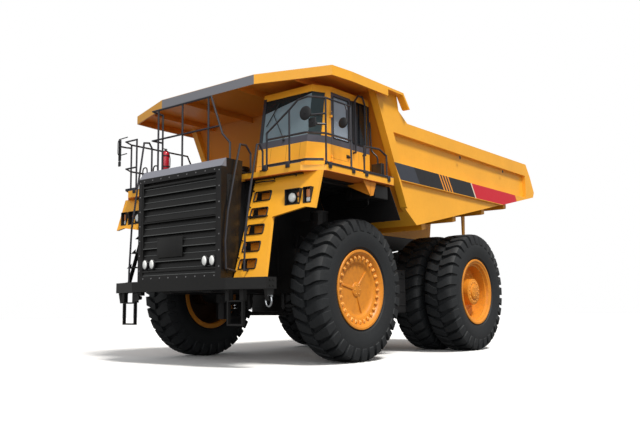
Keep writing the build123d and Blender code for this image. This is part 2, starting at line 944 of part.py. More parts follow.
def add_fender(side, face):
    """A leaning plate with the outline face, seen from the front."""
    side_prism(tower_shadow, side * tower_inner_x, side * fender_outer_x)
    with BuildSketch(Plane.XZ.offset(-behind(-2400))) as outline:
        with BuildLine():
            Polyline(*[(side * x, z) for x, z in face], close=True)
        make_face()
    extrude(outline.sketch, amount=-1200, mode=Mode.INTERSECT)
    for x_range, z_range in ((lamp_x, lamp_z), (signal_x, lamp_z)):
        block((side * x_range[0], side * x_range[1]), (-2300, -1200), z_range, Mode.SUBTRACT)


with BuildPart() as left_fender:
    add_fender(1, tower_face)
    for step in range(5):
        low = step_first_z + step * step_pitch
        block(step_x, (-2300, -1200), (low, low + step_height), Mode.SUBTRACT)
keep(left_fender.part, "left_fender")

with BuildPart() as right_fender:
    add_fender(-1, fender_face)
keep(right_fender.part, "right_fender")

# Tanks on the frame between the axles
tank_in_x = rail_outer_x
tank_length = 910
tank_out_x = tank_in_x + tank_length
tank_front_d = 1780
tank_rear_d = 2380
tank_bottom_z = 1330
tank_corner_radius = 120
with BuildPart() as fuel_tank:
    block((tank_in_x, tank_out_x), (tank_front_d, tank_rear_d), (tank_bottom_z, rail_top_z))
    fillet(fuel_tank.edges().filter_by(Axis.X), tank_corner_radius)
keep(fuel_tank.part, "fuel_tank")
with BuildPart() as hydraulic_tank:
    block((-tank_out_x, -tank_in_x), (tank_front_d, tank_rear_d), (tank_bottom_z, rail_top_z))
    fillet(hydraulic_tank.edges().filter_by(Axis.X), tank_corner_radius)
keep(hydraulic_tank.part, "hydraulic_tank")

# Cab: lower body with floor and walls, pillars and roof, glass, seat and dash
cab_lean_rate = cab_lean / (cab_top_z - deck_top_z)


def cab_plan(inset, z, rear_inset=0):
    """The cab's outline at height z, drawn in by inset, as (x, d)."""
    front = cab_front_d + (z - deck_top_z) * cab_lean_rate
    return [
        (cab_inner_x + inset, front + inset),
        (cab_front_x - inset * 0.4, front + inset),
        (cab_side_x - inset, front + cab_corner_run + inset * 0.4),
        (cab_side_x - inset, cab_rear_d - inset - rear_inset),
        (cab_inner_x + inset, cab_rear_d - inset - rear_inset),
    ]


def cab_loft(inset, z_from, z_to, mode=Mode.ADD):
    """The leaning cab form between two heights, drawn in by inset."""
    faces = []
    for z in (z_from, z_to):
        with BuildSketch(Plane.XY.offset(z)) as outline:
            with BuildLine():
                points = [(x, behind(d)) for x, d in cab_plan(inset, z)]
                Polyline(*points, close=True)
            make_face()
        faces.append(outline.sketch.face())
    loft(faces, ruled=True, mode=mode)


door_x = (cab_side_x - cab_wall, cab_side_x)
hinge_x = cab_side_x + hinge_stand_off
hinge_heights = {"body": 3640, "frame": 4450}
hinge_fixed_height = 40
hinge_moving_height = 60


def fixed_hinge(z):
    """The pin and knuckle on the cab for one door hinge, from height z."""
    low = (hinge_x, behind(door_front_d), z)
    round_bar(low, (low[0], low[1], z + hinge_fixed_height), hinge_knuckle_radius)
    pin_top = z + hinge_fixed_height + hinge_moving_height + 10
    turned_bar(low, (low[0], low[1], pin_top), hinge_pin_radius)
    block(
        (cab_side_x, cab_side_x + hinge_leaf_thickness),
        (door_front_d - hinge_leaf_length, door_front_d),
        (z, z + hinge_fixed_height),
    )


def moving_hinge(z):
    """The knuckle and leaf on the door for the hinge whose pin starts at height z."""
    knuckle_z = z + hinge_fixed_height + running_gap
    top_z = z + hinge_fixed_height + hinge_moving_height
    round_bar(
        (hinge_x, behind(door_front_d), knuckle_z),
        (hinge_x, behind(door_front_d), top_z),
        hinge_knuckle_radius,
    )
    block(
        (cab_side_x - 1, cab_side_x + hinge_leaf_thickness),
        (door_front_d + door_gap, door_front_d + hinge_leaf_length + 20),
        (knuckle_z, top_z),
    )
    round_bar(
        (hinge_x, behind(door_front_d), knuckle_z - 1),
        (hinge_x, behind(door_front_d), top_z + 1),
        hinge_pin_radius + running_gap,
        Mode.SUBTRACT,
    )


with BuildPart() as cab_body:
    cab_loft(0, deck_top_z, cab_sill_z)
    cab_loft(cab_wall, deck_top_z + cab_floor, cab_sill_z + 1, Mode.SUBTRACT)
    block(
        (cab_side_x - cab_wall - 5, cab_side_x + 5),
        (door_front_d, door_rear_d),
        (deck_top_z + cab_floor, cab_sill_z + 1),
        Mode.SUBTRACT,
    )
    fixed_hinge(hinge_heights["body"])
keep(cab_body.part, "cab_body")

roof_bottom_z = cab_top_z - cab_roof
window_top_z = roof_bottom_z - 60
glass_z = cab_sill_z + 130
screen_back_low = cab_front_d + (glass_z - deck_top_z) * cab_lean_rate + cab_corner_run - 90
screen_back_high = cab_front_d + (window_top_z - deck_top_z) * cab_lean_rate + cab_corner_run - 90
cab_windows = [
    # x from, x to, outline seen from the side
    (
        cab_inner_x + cab_pillar,
        cab_side_x + 50,
        [
            (-1700, glass_z),
            (screen_back_low, glass_z),
            (screen_back_high, window_top_z),
            (-1700, window_top_z),
        ],
    ),
    (
        cab_inner_x - 1,
        cab_inner_x + cab_pillar - 1,
        [(-880, glass_z), (180, glass_z), (180, window_top_z), (-880, window_top_z)],
    ),
    (
        cab_side_x - cab_wall - 10,
        cab_side_x + 1,
        [
            (door_rear_d + cab_pillar, glass_z),
            (cab_rear_d - 70, glass_z),
            (cab_rear_d - 70, window_top_z),
            (door_rear_d + cab_pillar, window_top_z),
        ],
    ),
    (
        cab_inner_x + 150,
        cab_side_x - 150,
        [(200, glass_z), (400, glass_z), (400, window_top_z), (200, window_top_z)],
    ),
]
with BuildPart() as cab_frame:
    cab_loft(0, cab_sill_z, cab_top_z)
    cab_loft(cab_wall, cab_sill_z - 1, roof_bottom_z, Mode.SUBTRACT)
    for opening in cab_windows:
        side_prism(opening[2], opening[0], opening[1], Mode.SUBTRACT)
    block(
        (cab_side_x - cab_wall - 1, cab_side_x + 1),
        (door_front_d, door_rear_d),
        (cab_sill_z - 1, window_top_z + 30),
        Mode.SUBTRACT,
    )
    fixed_hinge(hinge_heights["frame"])
keep(cab_frame.part, "cab_frame")

glass_inset = 14
glass_thickness = 8
panes = []
for x_from, x_to, outline in cab_windows:
    with BuildPart() as pane:
        cab_loft(glass_inset, glass_z, window_top_z)
        cab_loft(glass_inset + glass_thickness, glass_z - 1, window_top_z + 1, Mode.SUBTRACT)
        side_prism(outline, x_from, x_to, Mode.INTERSECT)
    panes.append(pane.part)
with BuildPart() as cab_glass:
    for pane in panes:
        add(pane)
keep(cab_glass.part, "cab_glass")

seat_x = 1700
seat_d = -420
floor_z = deck_top_z + cab_floor
with BuildPart() as operator_seat:
    block((seat_x - 180, seat_x + 180), (seat_d - 150, seat_d + 200), (floor_z, floor_z + 330))
    block((seat_x - 260, seat_x + 260), (seat_d - 260, seat_d + 280), (floor_z + 330, floor_z + 470))
    side_prism(
        [
            (seat_d + 180, floor_z + 470),
            (seat_d + 300, floor_z + 470),
            (seat_d + 420, floor_z + 1150),
            (seat_d + 320, floor_z + 1150),
        ],
        seat_x - 240,
        seat_x + 240,
    )
keep(operator_seat.part, "operator_seat")
dash_front_d = -1330
dash_rear_d = -1010
dash_foot_rear_d = -1130
dash_height = 420
dash_side_gap = 120
with BuildPart() as dash_panel:
    side_prism(
        [
            (dash_front_d, floor_z),
            (dash_front_d, floor_z + dash_height),
            (dash_rear_d, floor_z + dash_height),
            (dash_foot_rear_d, floor_z),
        ],
        cab_inner_x + dash_side_gap,
        cab_front_x - dash_side_gap,
    )
keep(dash_panel.part, "dash_panel")

# Cab door, hinged at its front edge
with BuildPart() as cab_door:
    block(
        door_x,
        (door_front_d + door_gap, door_rear_d - door_gap),
        (deck_top_z + cab_floor + door_gap, window_top_z + 30 - door_gap),
    )
    block(
        (door_x[0] - 1, door_x[1] + 1),
        (door_front_d + door_gap + 60, door_rear_d - door_gap - 60),
        (glass_z, window_top_z - 40),
        Mode.SUBTRACT,
    )
    for hinge_z in hinge_heights.values():
        moving_hinge(hinge_z)
keep(cab_door.part, "cab_door")
with BuildPart() as cab_door_glass:
    block(
        (door_x[0] + 20, door_x[1] - 20),
        (door_front_d + door_gap + 60, door_rear_d - door_gap - 60),
        (glass_z, window_top_z - 40),
    )
keep(cab_door_glass.part, "cab_door_glass")

# Steering wheel on its column
column_foot_d = -1090
wheel_hub_d = -990
wheel_hub_z = floor_z + 560
steering_wheel_radius = 215
steering_wheel_rim = 30
with BuildPart() as steering_wheel:
    round_bar(
        (seat_x, behind(column_foot_d), floor_z + dash_height + 17),
        (seat_x, behind(wheel_hub_d), wheel_hub_z),
        24,
        sides=8,
    )
    tilted = Plane(origin=(seat_x, behind(wheel_hub_d), wheel_hub_z), z_dir=(0, 0.5, 0.86))
    with BuildSketch(tilted) as wheel_rim:
        RegularPolygon(steering_wheel_radius, 12)
        RegularPolygon(steering_wheel_radius - steering_wheel_rim, 12, mode=Mode.SUBTRACT)
        Rectangle(2 * steering_wheel_radius - 35, 30)
    extrude(wheel_rim.sketch, amount=25)
keep(steering_wheel.part, "steering_wheel")

# Boarding steps: treads behind the tower's step holes, the open ladder on the right, and the
# two ladders that hang under the bumper
tread_depth = 170
tread_thickness = 18


def tower_d(z):
    """Where the leaning front of the ladder tower is, at height z."""
    return tower_foot_d + (z - tower_foot_z) * tower_slope


right_ladder_x = (1460, 1860)
hanging_ladders = [
    # inner rail x, outer rail x
    (1050, 1400),
    (-1850, -1510),
]
hanging_top_z = bumper_bottom_z
hanging_bottom_z = 720
hanging_d = -2210
with BuildPart() as boarding_steps:
    for step in range(5):
        tread_z = step_first_z + step * step_pitch - tread_thickness
        tread_d = tower_d(tread_z + tread_thickness) + tower_plate
        block(
            (step_x[0] - 30, step_x[1] + 30),
            (tread_d, tread_d + tread_depth),
            (tread_z, tread_z + tread_thickness),
        )
    for tread in range(5):
        tread_z = step_first_z + tread * step_pitch - 155
        tread_d = tower_d(tread_z + tread_thickness)
        block(
            (-right_ladder_x[0], -right_ladder_x[1]),
            (tread_d, tread_d + tread_depth),
            (tread_z, tread_z + tread_thickness),
        )
    for stringer_x, stringer_end in ((right_ladder_x[0], -25), (right_ladder_x[1], 25)):
        side_prism(
            [
                (tower_d(bumper_top_z) + 60, bumper_top_z),
                (tower_d(deck_bottom_z) + 60, deck_bottom_z),
                (tower_d(deck_bottom_z) + 140, deck_bottom_z),
                (tower_d(bumper_top_z) + 140, bumper_top_z),
            ],
            -stringer_x - stringer_end,
            -stringer_x,
        )
    for x_in, x_out in hanging_ladders:
        for rail_x in (x_in, x_out):
            rail_z = (hanging_bottom_z, hanging_top_z)
            block((rail_x - 18, rail_x + 18), (hanging_d - 30, hanging_d + 30), rail_z)
            block((rail_x - 45, rail_x + 45), (hanging_d - 45, hanging_d + 45), (1150, hanging_top_z))
        for bar_z in (hanging_bottom_z, 1130):
            block((x_in, x_out), (hanging_d - 30, hanging_d + 30), (bar_z, bar_z + 28))
keep(boarding_steps.part, "boarding_steps")

# Handrails, in metres where a table says so, as runs of (x, d, z)
rail_radius = 19
edge_x = (deck_half_width - 40) / 1000


def run(points):
    """A handrail along (x, d, z) points in metres."""
    rail([(1000 * x, behind(1000 * d), 1000 * z) for x, d, z in points], rail_radius)


deck_z = deck_top_z / 1000
hood_z = radiator_top_z / 1000
left_rails = [
    [(1.54, -1.76, deck_z), (1.54, -1.76, 4.12), (2.09, -1.76, 4.47), (2.27, -1.76, 4.60),
     (edge_x - 0.16, -1.76, 4.62), (edge_x, -1.48, 4.63), (edge_x, -0.74, 4.63),
     (edge_x, -0.74, deck_z)],
    [(1.54, -1.76, 4.00), (edge_x - 0.21, -1.76, 4.00), (edge_x, -1.48, 4.00),
     (edge_x, -0.74, 4.00)],
    [(2.07, -1.76, deck_z), (2.07, -1.76, 4.44)],
    [(edge_x, -1.48, deck_z), (edge_x, -1.48, 4.63)],
    [(edge_x, -0.33, deck_z), (edge_x, -0.33, 3.96), (edge_x, 0.17, 3.99), (edge_x, 0.42, 3.90),
     (edge_x, 0.42, deck_z)],
]
tower_rails = [
    [(1.165, -1.78, deck_z), (1.165, -1.78, 3.80), (1.165, -1.90, 3.93), (1.165, -2.05, 3.93),
     (1.165, -2.14, 3.60), (1.165, -2.35, 2.69), (1.165, -2.41, 2.17), (1.165, -2.39, 1.70),
     (1.165, -2.16, 1.66)],
    [(1.46, -1.78, deck_z), (1.46, -1.78, 3.80), (1.46, -1.86, 3.92), (1.46, -1.93, 3.90),
     (1.46, -2.11, 3.02), (1.46, -2.23, 2.29), (1.46, -2.25, 1.66), (1.46, -2.158, 1.66)],
    [(-1.62, -1.78, deck_z), (-1.62, -1.78, 4.30), (-1.62, -1.85, 4.40), (-1.62, -1.98, 4.38),
     (-1.62, -2.25, 2.60), (-1.62, -2.29, 1.75), (-1.62, -2.29, 1.535)],
]
right_rails = [
    [(-edge_x, -1.50, deck_z), (-edge_x, -1.50, 4.57), (-edge_x, 0.10, 4.57), (-edge_x, 0.20, 4.40),
     (-edge_x, 0.20, deck_z)],
    [(-edge_x, -0.65, deck_z), (-edge_x, -0.65, 4.57)],
    [(-2.14, -1.76, deck_z), (-2.14, -1.76, 4.57), (0.15 - edge_x, -1.76, 4.57),
     (-edge_x, -1.50, 4.57)],
    [(-2.14, -1.76, 3.98), (0.17 - edge_x, -1.76, 3.98), (-edge_x, -1.50, 3.98),
     (-edge_x, 0.20, 3.98)],
]
round_mirror = (edge_x - 0.21, -1.775, 4.33)
small_mirror = (edge_x - 0.10, -1.715, 4.16)
door_mirror = (edge_x + 0.03, -0.945, 4.30)
right_mirror = (-edge_x - 0.04, -1.76, 4.50)
mirror_arms = [
    [(edge_x, -1.48, 4.35), (round_mirror[0], -1.62, 4.33), round_mirror],
    [(edge_x, -1.48, 4.16), (small_mirror[0], -1.60, 4.16), small_mirror],
    [(edge_x, -0.90, 4.62), (door_mirror[0], -0.90, 4.52), (door_mirror[0], -0.90, 4.30),
     door_mirror],
    [(-edge_x, -1.50, 4.50), (right_mirror[0], -1.62, 4.50), right_mirror],
]
guard_d = -2.20
guard_rails = [
    [(-1.08, -1.95, hood_z), (-1.08, -1.95, 4.86), (-1.08, guard_d, 4.89), (0.57, guard_d, 4.89),
     (0.87, guard_d, 4.14), (1.06, guard_d, 3.95), (1.06, guard_d, hood_z)],
    [(-1.08, -1.95, 4.30), (-1.08, guard_d, 4.30), (0.81, guard_d, 4.30)],
    [(-0.91, guard_d, hood_z), (-0.91, guard_d, 4.89)],
    [(-0.21, guard_d, hood_z), (-0.21, guard_d, 4.89)],
    [(0.50, guard_d, hood_z), (0.50, guard_d, 4.89)],
]
with BuildPart() as deck_handrails:
    for points in left_rails + right_rails + mirror_arms:
        run(points)
keep(deck_handrails.part, "deck_handrails")
with BuildPart() as ladder_handrails:
    for points in tower_rails:
        run(points)
keep(ladder_handrails.part, "ladder_handrails")
with BuildPart() as hood_guard_rail:
    for points in guard_rails:
        run(points)
keep(hood_guard_rail.part, "hood_guard_rail")

# Cab grab loop
loop_x = (cab_side_x + 60) / 1000
with BuildPart() as cab_grab_loop:
    run([(loop_x - 0.060, -0.22, 3.90), (loop_x, -0.22, 3.90), (loop_x, -0.22, 4.90),
         (loop_x, -0.12, 5.02), (loop_x, 0.02, 5.02), (loop_x, 0.10, 4.90),
         (loop_x, 0.10, 3.90), (loop_x - 0.060, 0.10, 3.90)])
keep(cab_grab_loop.part, "cab_grab_loop")

# Lamps
radiator_lamp_x = [-900, -700, 720, 910]
with BuildPart() as lamps:
    for lamp_centre in radiator_lamp_x:
        block((lamp_centre - 65, lamp_centre + 65), (radiator_front_d - 25, radiator_front_d + 12),
              (1750, 1950))
    for side in (1, -1):
        for x_range in (lamp_x, signal_x):
            lamp_d = tower_d(lamp_z[0]) + 40
            block((side * x_range[0], side * x_range[1]), (lamp_d, lamp_d + 50), lamp_z)
keep(lamps.part, "lamps")

# Mirrors on the rails
round_mirror_radius = 120
door_mirror_radius = 60
mirror_thickness = 25


def add_round_mirror(centre, radius):
    """A round mirror head that faces back, its rear at centre, given in metres."""
    x, d, z = (1000 * value for value in centre)
    round_bar((x, behind(d) - mirror_thickness, z), (x, behind(d), z), radius)


def add_flat_mirror(centre, half_width, z_range):
    """A flat mirror head with its rear at centre, given in metres."""
    x, d = 1000 * centre[0], 1000 * centre[1]
    block((x - half_width, x + half_width), (d - mirror_thickness, d), z_range)


with BuildPart() as mirrors:
    add_round_mirror(round_mirror, round_mirror_radius)
    add_flat_mirror(small_mirror, 80, (4080, 4240))
    add_round_mirror(door_mirror, door_mirror_radius)
    add_flat_mirror(right_mirror, 43, (4180, 4640))
keep(mirrors.part, "mirrors")

# Fire extinguisher on its stand
with BuildPart() as fire_extinguisher:
    block((-1290, -1190), (-1790, -1690), (deck_top_z, 3790))
    round_bar((-1240, behind(-1740), 3790), (-1240, behind(-1740), 4190), 75)
    round_bar((-1240, behind(-1740), 4190), (-1240, behind(-1740), 4260), 30)
keep(fire_extinguisher.part, "fire_extinguisher")

# Body
side_outline = [
    (wall_foot_d, wall_foot_z),
    (floor_front_d, floor_front_z),
    (floor_tail_d, floor_tail_z),
    (7900, 4060),
    (7640, 4480),
    (7400, 4770),
    (1330, 4720),
    (1000, 4920),
    (940, canopy_top_z - canopy_thickness),
    (wall_face(canopy_top_z - canopy_thickness), canopy_top_z - canopy_thickness),
]
upper_recess = [
    (wall_face(rib_top_z) + 280, rib_top_z),
    (wall_face(top_rail_bottom_z) + 280, top_rail_bottom_z),
    (7330, top_rail_bottom_z),
    (7330, rib_top_z),
]
lower_recess = [
    (wall_face(rib_bottom_z) + 60, rib_bottom_z),
    (floor_front_d + (rib_bottom_z - floor_front_z) / floor_slope, rib_bottom_z),
    (floor_front_d, floor_front_z - 1),
    (wall_foot_d - 200, floor_front_z - 1),
    (wall_foot_d + 60, wall_foot_z),
]
with BuildPart() as bed_sides:
    for side in (1, -1):
        outer = side * body_half_width
        side_prism(side_outline, side * body_inner_half, outer)
        side_prism(upper_recess, outer - side * recess_depth, outer + side, Mode.SUBTRACT)
        side_prism(lower_recess, outer - side * lower_recess_depth, outer + side, Mode.SUBTRACT)
keep(bed_sides.part, "bed_sides")

wall_front_d = wall_foot_d + wall_set_back
with BuildPart() as bed_floor:
    side_prism(
        [
            (wall_front_d, wall_foot_z - 80),
            (floor_front_d, floor_front_z),
            (floor_tail_d, floor_tail_z),
            (floor_tail_d + 52, floor_tail_z + floor_thickness + 2),
            (floor_front_d + 12, floor_under(floor_front_d + 12) + floor_thickness + 2),
            (wall_front_d + 45, wall_foot_z - 30),
        ],
        -body_inner_half,
        body_inner_half,
    )
keep(bed_floor.part, "bed_floor")

wall_top_z = canopy_top_z - canopy_thickness
with BuildPart() as bed_front_wall:
    side_prism(
        [
            (wall_front_d, wall_foot_z - 80),
            (wall_front_d + 45, wall_foot_z - 30),
            (wall_face(wall_foot_z - 30) + wall_set_back + wall_thickness, wall_foot_z - 10),
            (wall_face(wall_top_z) + wall_set_back + wall_thickness, wall_top_z),
            (wall_face(wall_top_z) + wall_set_back, wall_top_z),
        ],
        -body_inner_half,
        body_inner_half,
    )
keep(bed_front_wall.part, "bed_front_wall")

canopy_corner_x = canopy_half_width - 50
canopy_nose_x = 1280
canopy_corner_d = -1330
canopy_side_d = -800
canopy_rear_d = 940
fascia_rear_d = 400
canopy_half_plan = [
    (canopy_nose_x, canopy_front_d),
    (canopy_corner_x, canopy_corner_d),
    (canopy_half_width, canopy_side_d),
    (canopy_half_width, canopy_rear_d),
    (body_inner_half, canopy_rear_d),
    (body_inner_half, wall_face(wall_top_z) + wall_set_back + wall_thickness),
]
canopy_plan = canopy_half_plan + [(-x, d) for x, d in reversed(canopy_half_plan)]
fascia_inner = [
    (canopy_nose_x, canopy_front_d + canopy_lip),
    (canopy_corner_x - canopy_lip, canopy_corner_d + 20),
    (canopy_half_width - canopy_lip, canopy_side_d),
    (canopy_half_width - canopy_lip, fascia_rear_d),
]
fascia_outer = [
    (canopy_nose_x, canopy_front_d),
    (canopy_corner_x, canopy_corner_d),
    (canopy_half_width, canopy_side_d),
    (canopy_half_width, fascia_rear_d),
]
fascia_ring = (
    fascia_outer
    + list(reversed(fascia_inner))
    + [(-x, d) for x, d in fascia_inner]
    + [(-x, d) for x, d in reversed(fascia_outer)]
)
gusset_depth = 110
gusset_half_thickness = 12
gusset_places = [-1950, -750, 750, 1950]
gusset_gap = 20


def gusset(x):
    """The rib under the canopy at x, from the front wall forward to just behind the fascia."""
    along_corner = max(0, abs(x) - canopy_nose_x) / (canopy_corner_x - canopy_nose_x)
    fascia_d = canopy_front_d + along_corner * (canopy_corner_d - canopy_front_d)
    front_d = fascia_d + canopy_lip + gusset_gap
    low_z = wall_top_z - gusset_depth
    return [
        (wall_face(wall_top_z) + wall_set_back, wall_top_z),
        (wall_face(low_z) + wall_set_back - 3, low_z),
        (front_d + 100, low_z),
        (front_d, wall_top_z - 60),
        (front_d, wall_top_z),
    ]


rear_lip = [
    (canopy_rear_d - 40, canopy_top_z),
    (canopy_rear_d + 20, canopy_top_z),
    (canopy_rear_d + 260, canopy_top_z - 290),
    (canopy_rear_d + 200, canopy_top_z - 290),
]
with BuildPart() as bed_canopy:
    plan_prism(canopy_plan, canopy_top_z - canopy_thickness, canopy_top_z)
    plan_prism(fascia_ring, canopy_top_z - canopy_fascia, canopy_top_z - canopy_thickness)
    for x in gusset_places:
        side_prism(gusset(x), x - gusset_half_thickness, x + gusset_half_thickness)
    for side in (1, -1):
        side_prism(rear_lip, side * body_half_width, side * canopy_half_width)
keep(bed_canopy.part, "bed_canopy")

beam_inner_x = 440
beam_outer_x = 700
beam_front_d = 1800
beam_rear_d = 5450
ear_outer_x = 720
ear_gap = 6
beam_outline = [
    (beam_front_d, rail_top(beam_front_d) + beam_gap),
    (beam_rear_d, rail_top(beam_rear_d) + beam_gap),
    (beam_rear_d + 150, floor_under(beam_rear_d + 150)),
    (beam_front_d, floor_under(beam_front_d)),
]
ear_outline = [
    (pivot_d - 170, pivot_z),
    (pivot_d - 330, rail_top(pivot_d) + beam_gap + 40),
    (pivot_d + 180, rail_top(pivot_d) + beam_gap + 60),
    (pivot_d + 140, pivot_z - 60),
    (pivot_d + 60, pivot_z - 140),
    (pivot_d - 80, pivot_z - 140),
]
bolster_places = [hoist_head_d - 400, 3700, beam_rear_d - 250, beam_rear_d + 1050]
bolster_half = 80
bolster_depth = 150
bolster_half_width = 2350
head_ear_thickness = 30
head_ear_gap = 6
hoist_head_z = floor_under(hoist_head_d) - hoist_head_drop
head_ear_outline = [
    (hoist_head_d - 130, hoist_head_z - 60),
    (hoist_head_d - 60, hoist_head_z - 120),
    (hoist_head_d + 60, hoist_head_z - 120),
    (hoist_head_d + 130, hoist_head_z - 60),
    (hoist_head_d + 180, floor_under(hoist_head_d + 180)),
    (hoist_head_d - 180, floor_under(hoist_head_d - 180)),
]
pad_places = [2100, 3300, 4400]
pad_half = 120
with BuildPart() as bed_beams:
    for side in (1, -1):
        side_prism(beam_outline, side * beam_inner_x, side * beam_outer_x)
        side_prism(ear_outline, side * (rail_outer_x + ear_gap), side * ear_outer_x)
        round_bar(
            (side * (rail_outer_x - 30), behind(pivot_d), pivot_z),
            (side * (ear_outer_x + 30), behind(pivot_d), pivot_z),
            pivot_pin_radius + running_gap,
            Mode.SUBTRACT,
        )
        for pad_d in pad_places:
            pad = [
                (pad_d - pad_half, rail_top(pad_d - pad_half) + seat),
                (pad_d + pad_half, rail_top(pad_d + pad_half) + seat),
                (pad_d + pad_half, rail_top(pad_d + pad_half) + beam_gap + 1),
                (pad_d - pad_half, rail_top(pad_d - pad_half) + beam_gap + 1),
            ]
            side_prism(pad, side * (beam_inner_x + 20), side * (rail_outer_x - 20))
keep(bed_beams.part, "bed_beams")

with BuildPart() as hoist_head_ears:
    for side in (1, -1):
        for ear_side in (1, -1):
            near = hoist_x + ear_side * (hoist_eye_width / 2 + head_ear_gap)
            far = near + ear_side * head_ear_thickness
            side_prism(head_ear_outline, side * near, side * far)
keep(hoist_head_ears.part, "hoist_head_ears")

# Bolsters across the body's underside, in lengths between and outside the beams, and the rock
# ejectors that hang from one of them between the twin tyres
ejector_x = (rear_outer_tyre_x + rear_inner_tyre_x) / 2
ejector_half_thickness = 20
ejector_length = 640
ejector_d = bolster_places[2]
ejector_top_z = floor_under(ejector_d) - bolster_depth + 20
ejector = [
    (ejector_d - 60, ejector_top_z),
    (ejector_d + 70, ejector_top_z),
    (ejector_d + 40, ejector_top_z - ejector_length),
    (ejector_d - 40, ejector_top_z - ejector_length),
]
with BuildPart() as bed_bolsters:
    for d in bolster_places:
        bolster = [
            (d - bolster_half, floor_under(d - bolster_half) - bolster_depth),
            (d + bolster_half, floor_under(d + bolster_half) - bolster_depth),
            (d + bolster_half, floor_under(d + bolster_half)),
            (d - bolster_half, floor_under(d - bolster_half)),
        ]
        inner_end = beam_outer_x if d < beam_rear_d else 0
        for side in (1, -1):
            side_prism(bolster, side * inner_end, side * bolster_half_width)
        if d < beam_rear_d:
            side_prism(bolster, -beam_inner_x, beam_inner_x)
    for side in (1, -1):
        x = side * ejector_x
        side_prism(ejector, x - ejector_half_thickness, x + ejector_half_thickness)
keep(bed_bolsters.part, "bed_bolsters")

# Hoist cylinders: a barrel, a middle stage and a rod on each side
hoist_run = hoist_head_d - hoist_foot_d
hoist_rise = hoist_head_z - hoist_foot_z
hoist_length = sqrt(hoist_run**2 + hoist_rise**2)


def hoist_point(side, along):
    """A point on the hoist's axis, so far from its foot."""
    share = along / hoist_length
    return (
        side * hoist_x,
        behind(hoist_foot_d + hoist_run * share),
        hoist_foot_z + hoist_rise * share,
    )


barrel_end = hoist_length - 260
for side_name, side in (("left", 1), ("right", -1)):
    eye_half = hoist_eye_width / 2
    foot_low = (side * (hoist_x - eye_half), behind(hoist_foot_d), hoist_foot_z)
    foot_high = (side * (hoist_x + eye_half), behind(hoist_foot_d), hoist_foot_z)
    head_low = (side * (hoist_x - eye_half), behind(hoist_head_d), hoist_head_z)
    head_high = (side * (hoist_x + eye_half), behind(hoist_head_d), hoist_head_z)
    with BuildPart() as hoist_barrel:
        round_bar(hoist_point(side, 90), hoist_point(side, barrel_end), hoist_barrel_radius)
        round_bar(foot_low, foot_high, hoist_eye_radius)
        round_bar(
            (foot_low[0] - side, *foot_low[1:]),
            (foot_high[0] + side, *foot_high[1:]),
            hoist_pin_radius + running_gap,
            Mode.SUBTRACT,
        )
        round_bar(
            hoist_point(side, 200),
            hoist_point(side, barrel_end + 1),
            hoist_stage_radius + running_gap,
            Mode.SUBTRACT,
        )
    keep(hoist_barrel.part, f"{side_name}_hoist_barrel")
    with BuildPart() as hoist_stage:
        turned_bar(hoist_point(side, 220), hoist_point(side, barrel_end + 70), hoist_stage_radius)
        round_bar(
            hoist_point(side, 260),
            hoist_point(side, barrel_end + 71),
            hoist_rod_radius + running_gap,
            Mode.SUBTRACT,
        )
    keep(hoist_stage.part, f"{side_name}_hoist_stage")
    with BuildPart() as hoist_rod:
        turned_bar(hoist_point(side, 280), hoist_point(side, hoist_length - 60), hoist_rod_radius)
        round_bar(head_low, head_high, hoist_eye_radius)
    keep(hoist_rod.part, f"{side_name}_hoist_rod")
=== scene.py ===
"""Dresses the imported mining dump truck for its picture. Metres, in the CAD's own frame."""
from math import cos, pi, radians, sin

import bmesh
import bpy
from mathutils import Matrix, Vector


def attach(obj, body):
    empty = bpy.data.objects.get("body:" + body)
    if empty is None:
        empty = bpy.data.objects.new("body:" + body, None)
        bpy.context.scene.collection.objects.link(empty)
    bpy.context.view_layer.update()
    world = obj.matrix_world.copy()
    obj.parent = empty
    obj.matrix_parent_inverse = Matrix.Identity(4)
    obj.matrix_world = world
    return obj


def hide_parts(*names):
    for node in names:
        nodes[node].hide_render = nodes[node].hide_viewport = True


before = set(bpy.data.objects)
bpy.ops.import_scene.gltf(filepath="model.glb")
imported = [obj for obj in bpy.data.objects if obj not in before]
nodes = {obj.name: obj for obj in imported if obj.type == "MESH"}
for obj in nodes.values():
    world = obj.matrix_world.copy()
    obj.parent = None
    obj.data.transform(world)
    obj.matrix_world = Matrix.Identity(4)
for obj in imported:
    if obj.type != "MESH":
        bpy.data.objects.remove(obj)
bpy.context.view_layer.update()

# Places that the CAD also uses, where d is a distance behind the front axle
front_axle_y = -2.7
wheelbase = 4.35
axle_z = 1.34
front_tyre_x = 2.01
rear_outer_tyre_x = 2.23
rear_inner_tyre_x = 1.38
bumper_top_z = 1.535
tower_foot_d = -2.19
tower_slope = 0.314
radiator_d = -2.475
radiator_top_z = 3.486
grille_bottom_z = 1.63
louvre_pitch = 0.2516
louvre_count = 7
louvre_tilt = 0.06
deck_bottom_z = 3.34
deck_top_z = 3.44
deck_half_width = 2.7
floor_z = 3.5
cab_inner_x = 1.0
cab_side_x = 2.335
cab_front_d = -1.48
cab_lean = 0.26 / 1.59
cab_sill_z = 3.95
glass_z = 4.08
door_glass_top_z = 4.86
window_top_z = 4.9
body_half_width = 2.6
wall_foot_d = 1.34
wall_foot_z = 3.0
wall_lean = 1.0 / 2.04
rib_bottom_z = 3.51
rib_top_z = 3.86
top_rail_z = 4.45
canopy_front_d = -1.82
canopy_nose_x = 1.28
canopy_half_width = 2.75
canopy_top_z = 5.25

# Places that only this script uses
edge_x = deck_half_width - 0.04
toe_d = -1.785
bottle_x = -1.24
bottle_d = -1.74
bottle_foot_z = 3.79
hoop_d = -1.72
shackle_d = -2.17
tread_radius = 1.34
wheel_segments = 72

both_sides = (("left", 1), ("right", -1))
outward, backward, upward, forward = (1, 0, 0), (0, 1, 0), (0, 0, 1), (0, -1, 0)


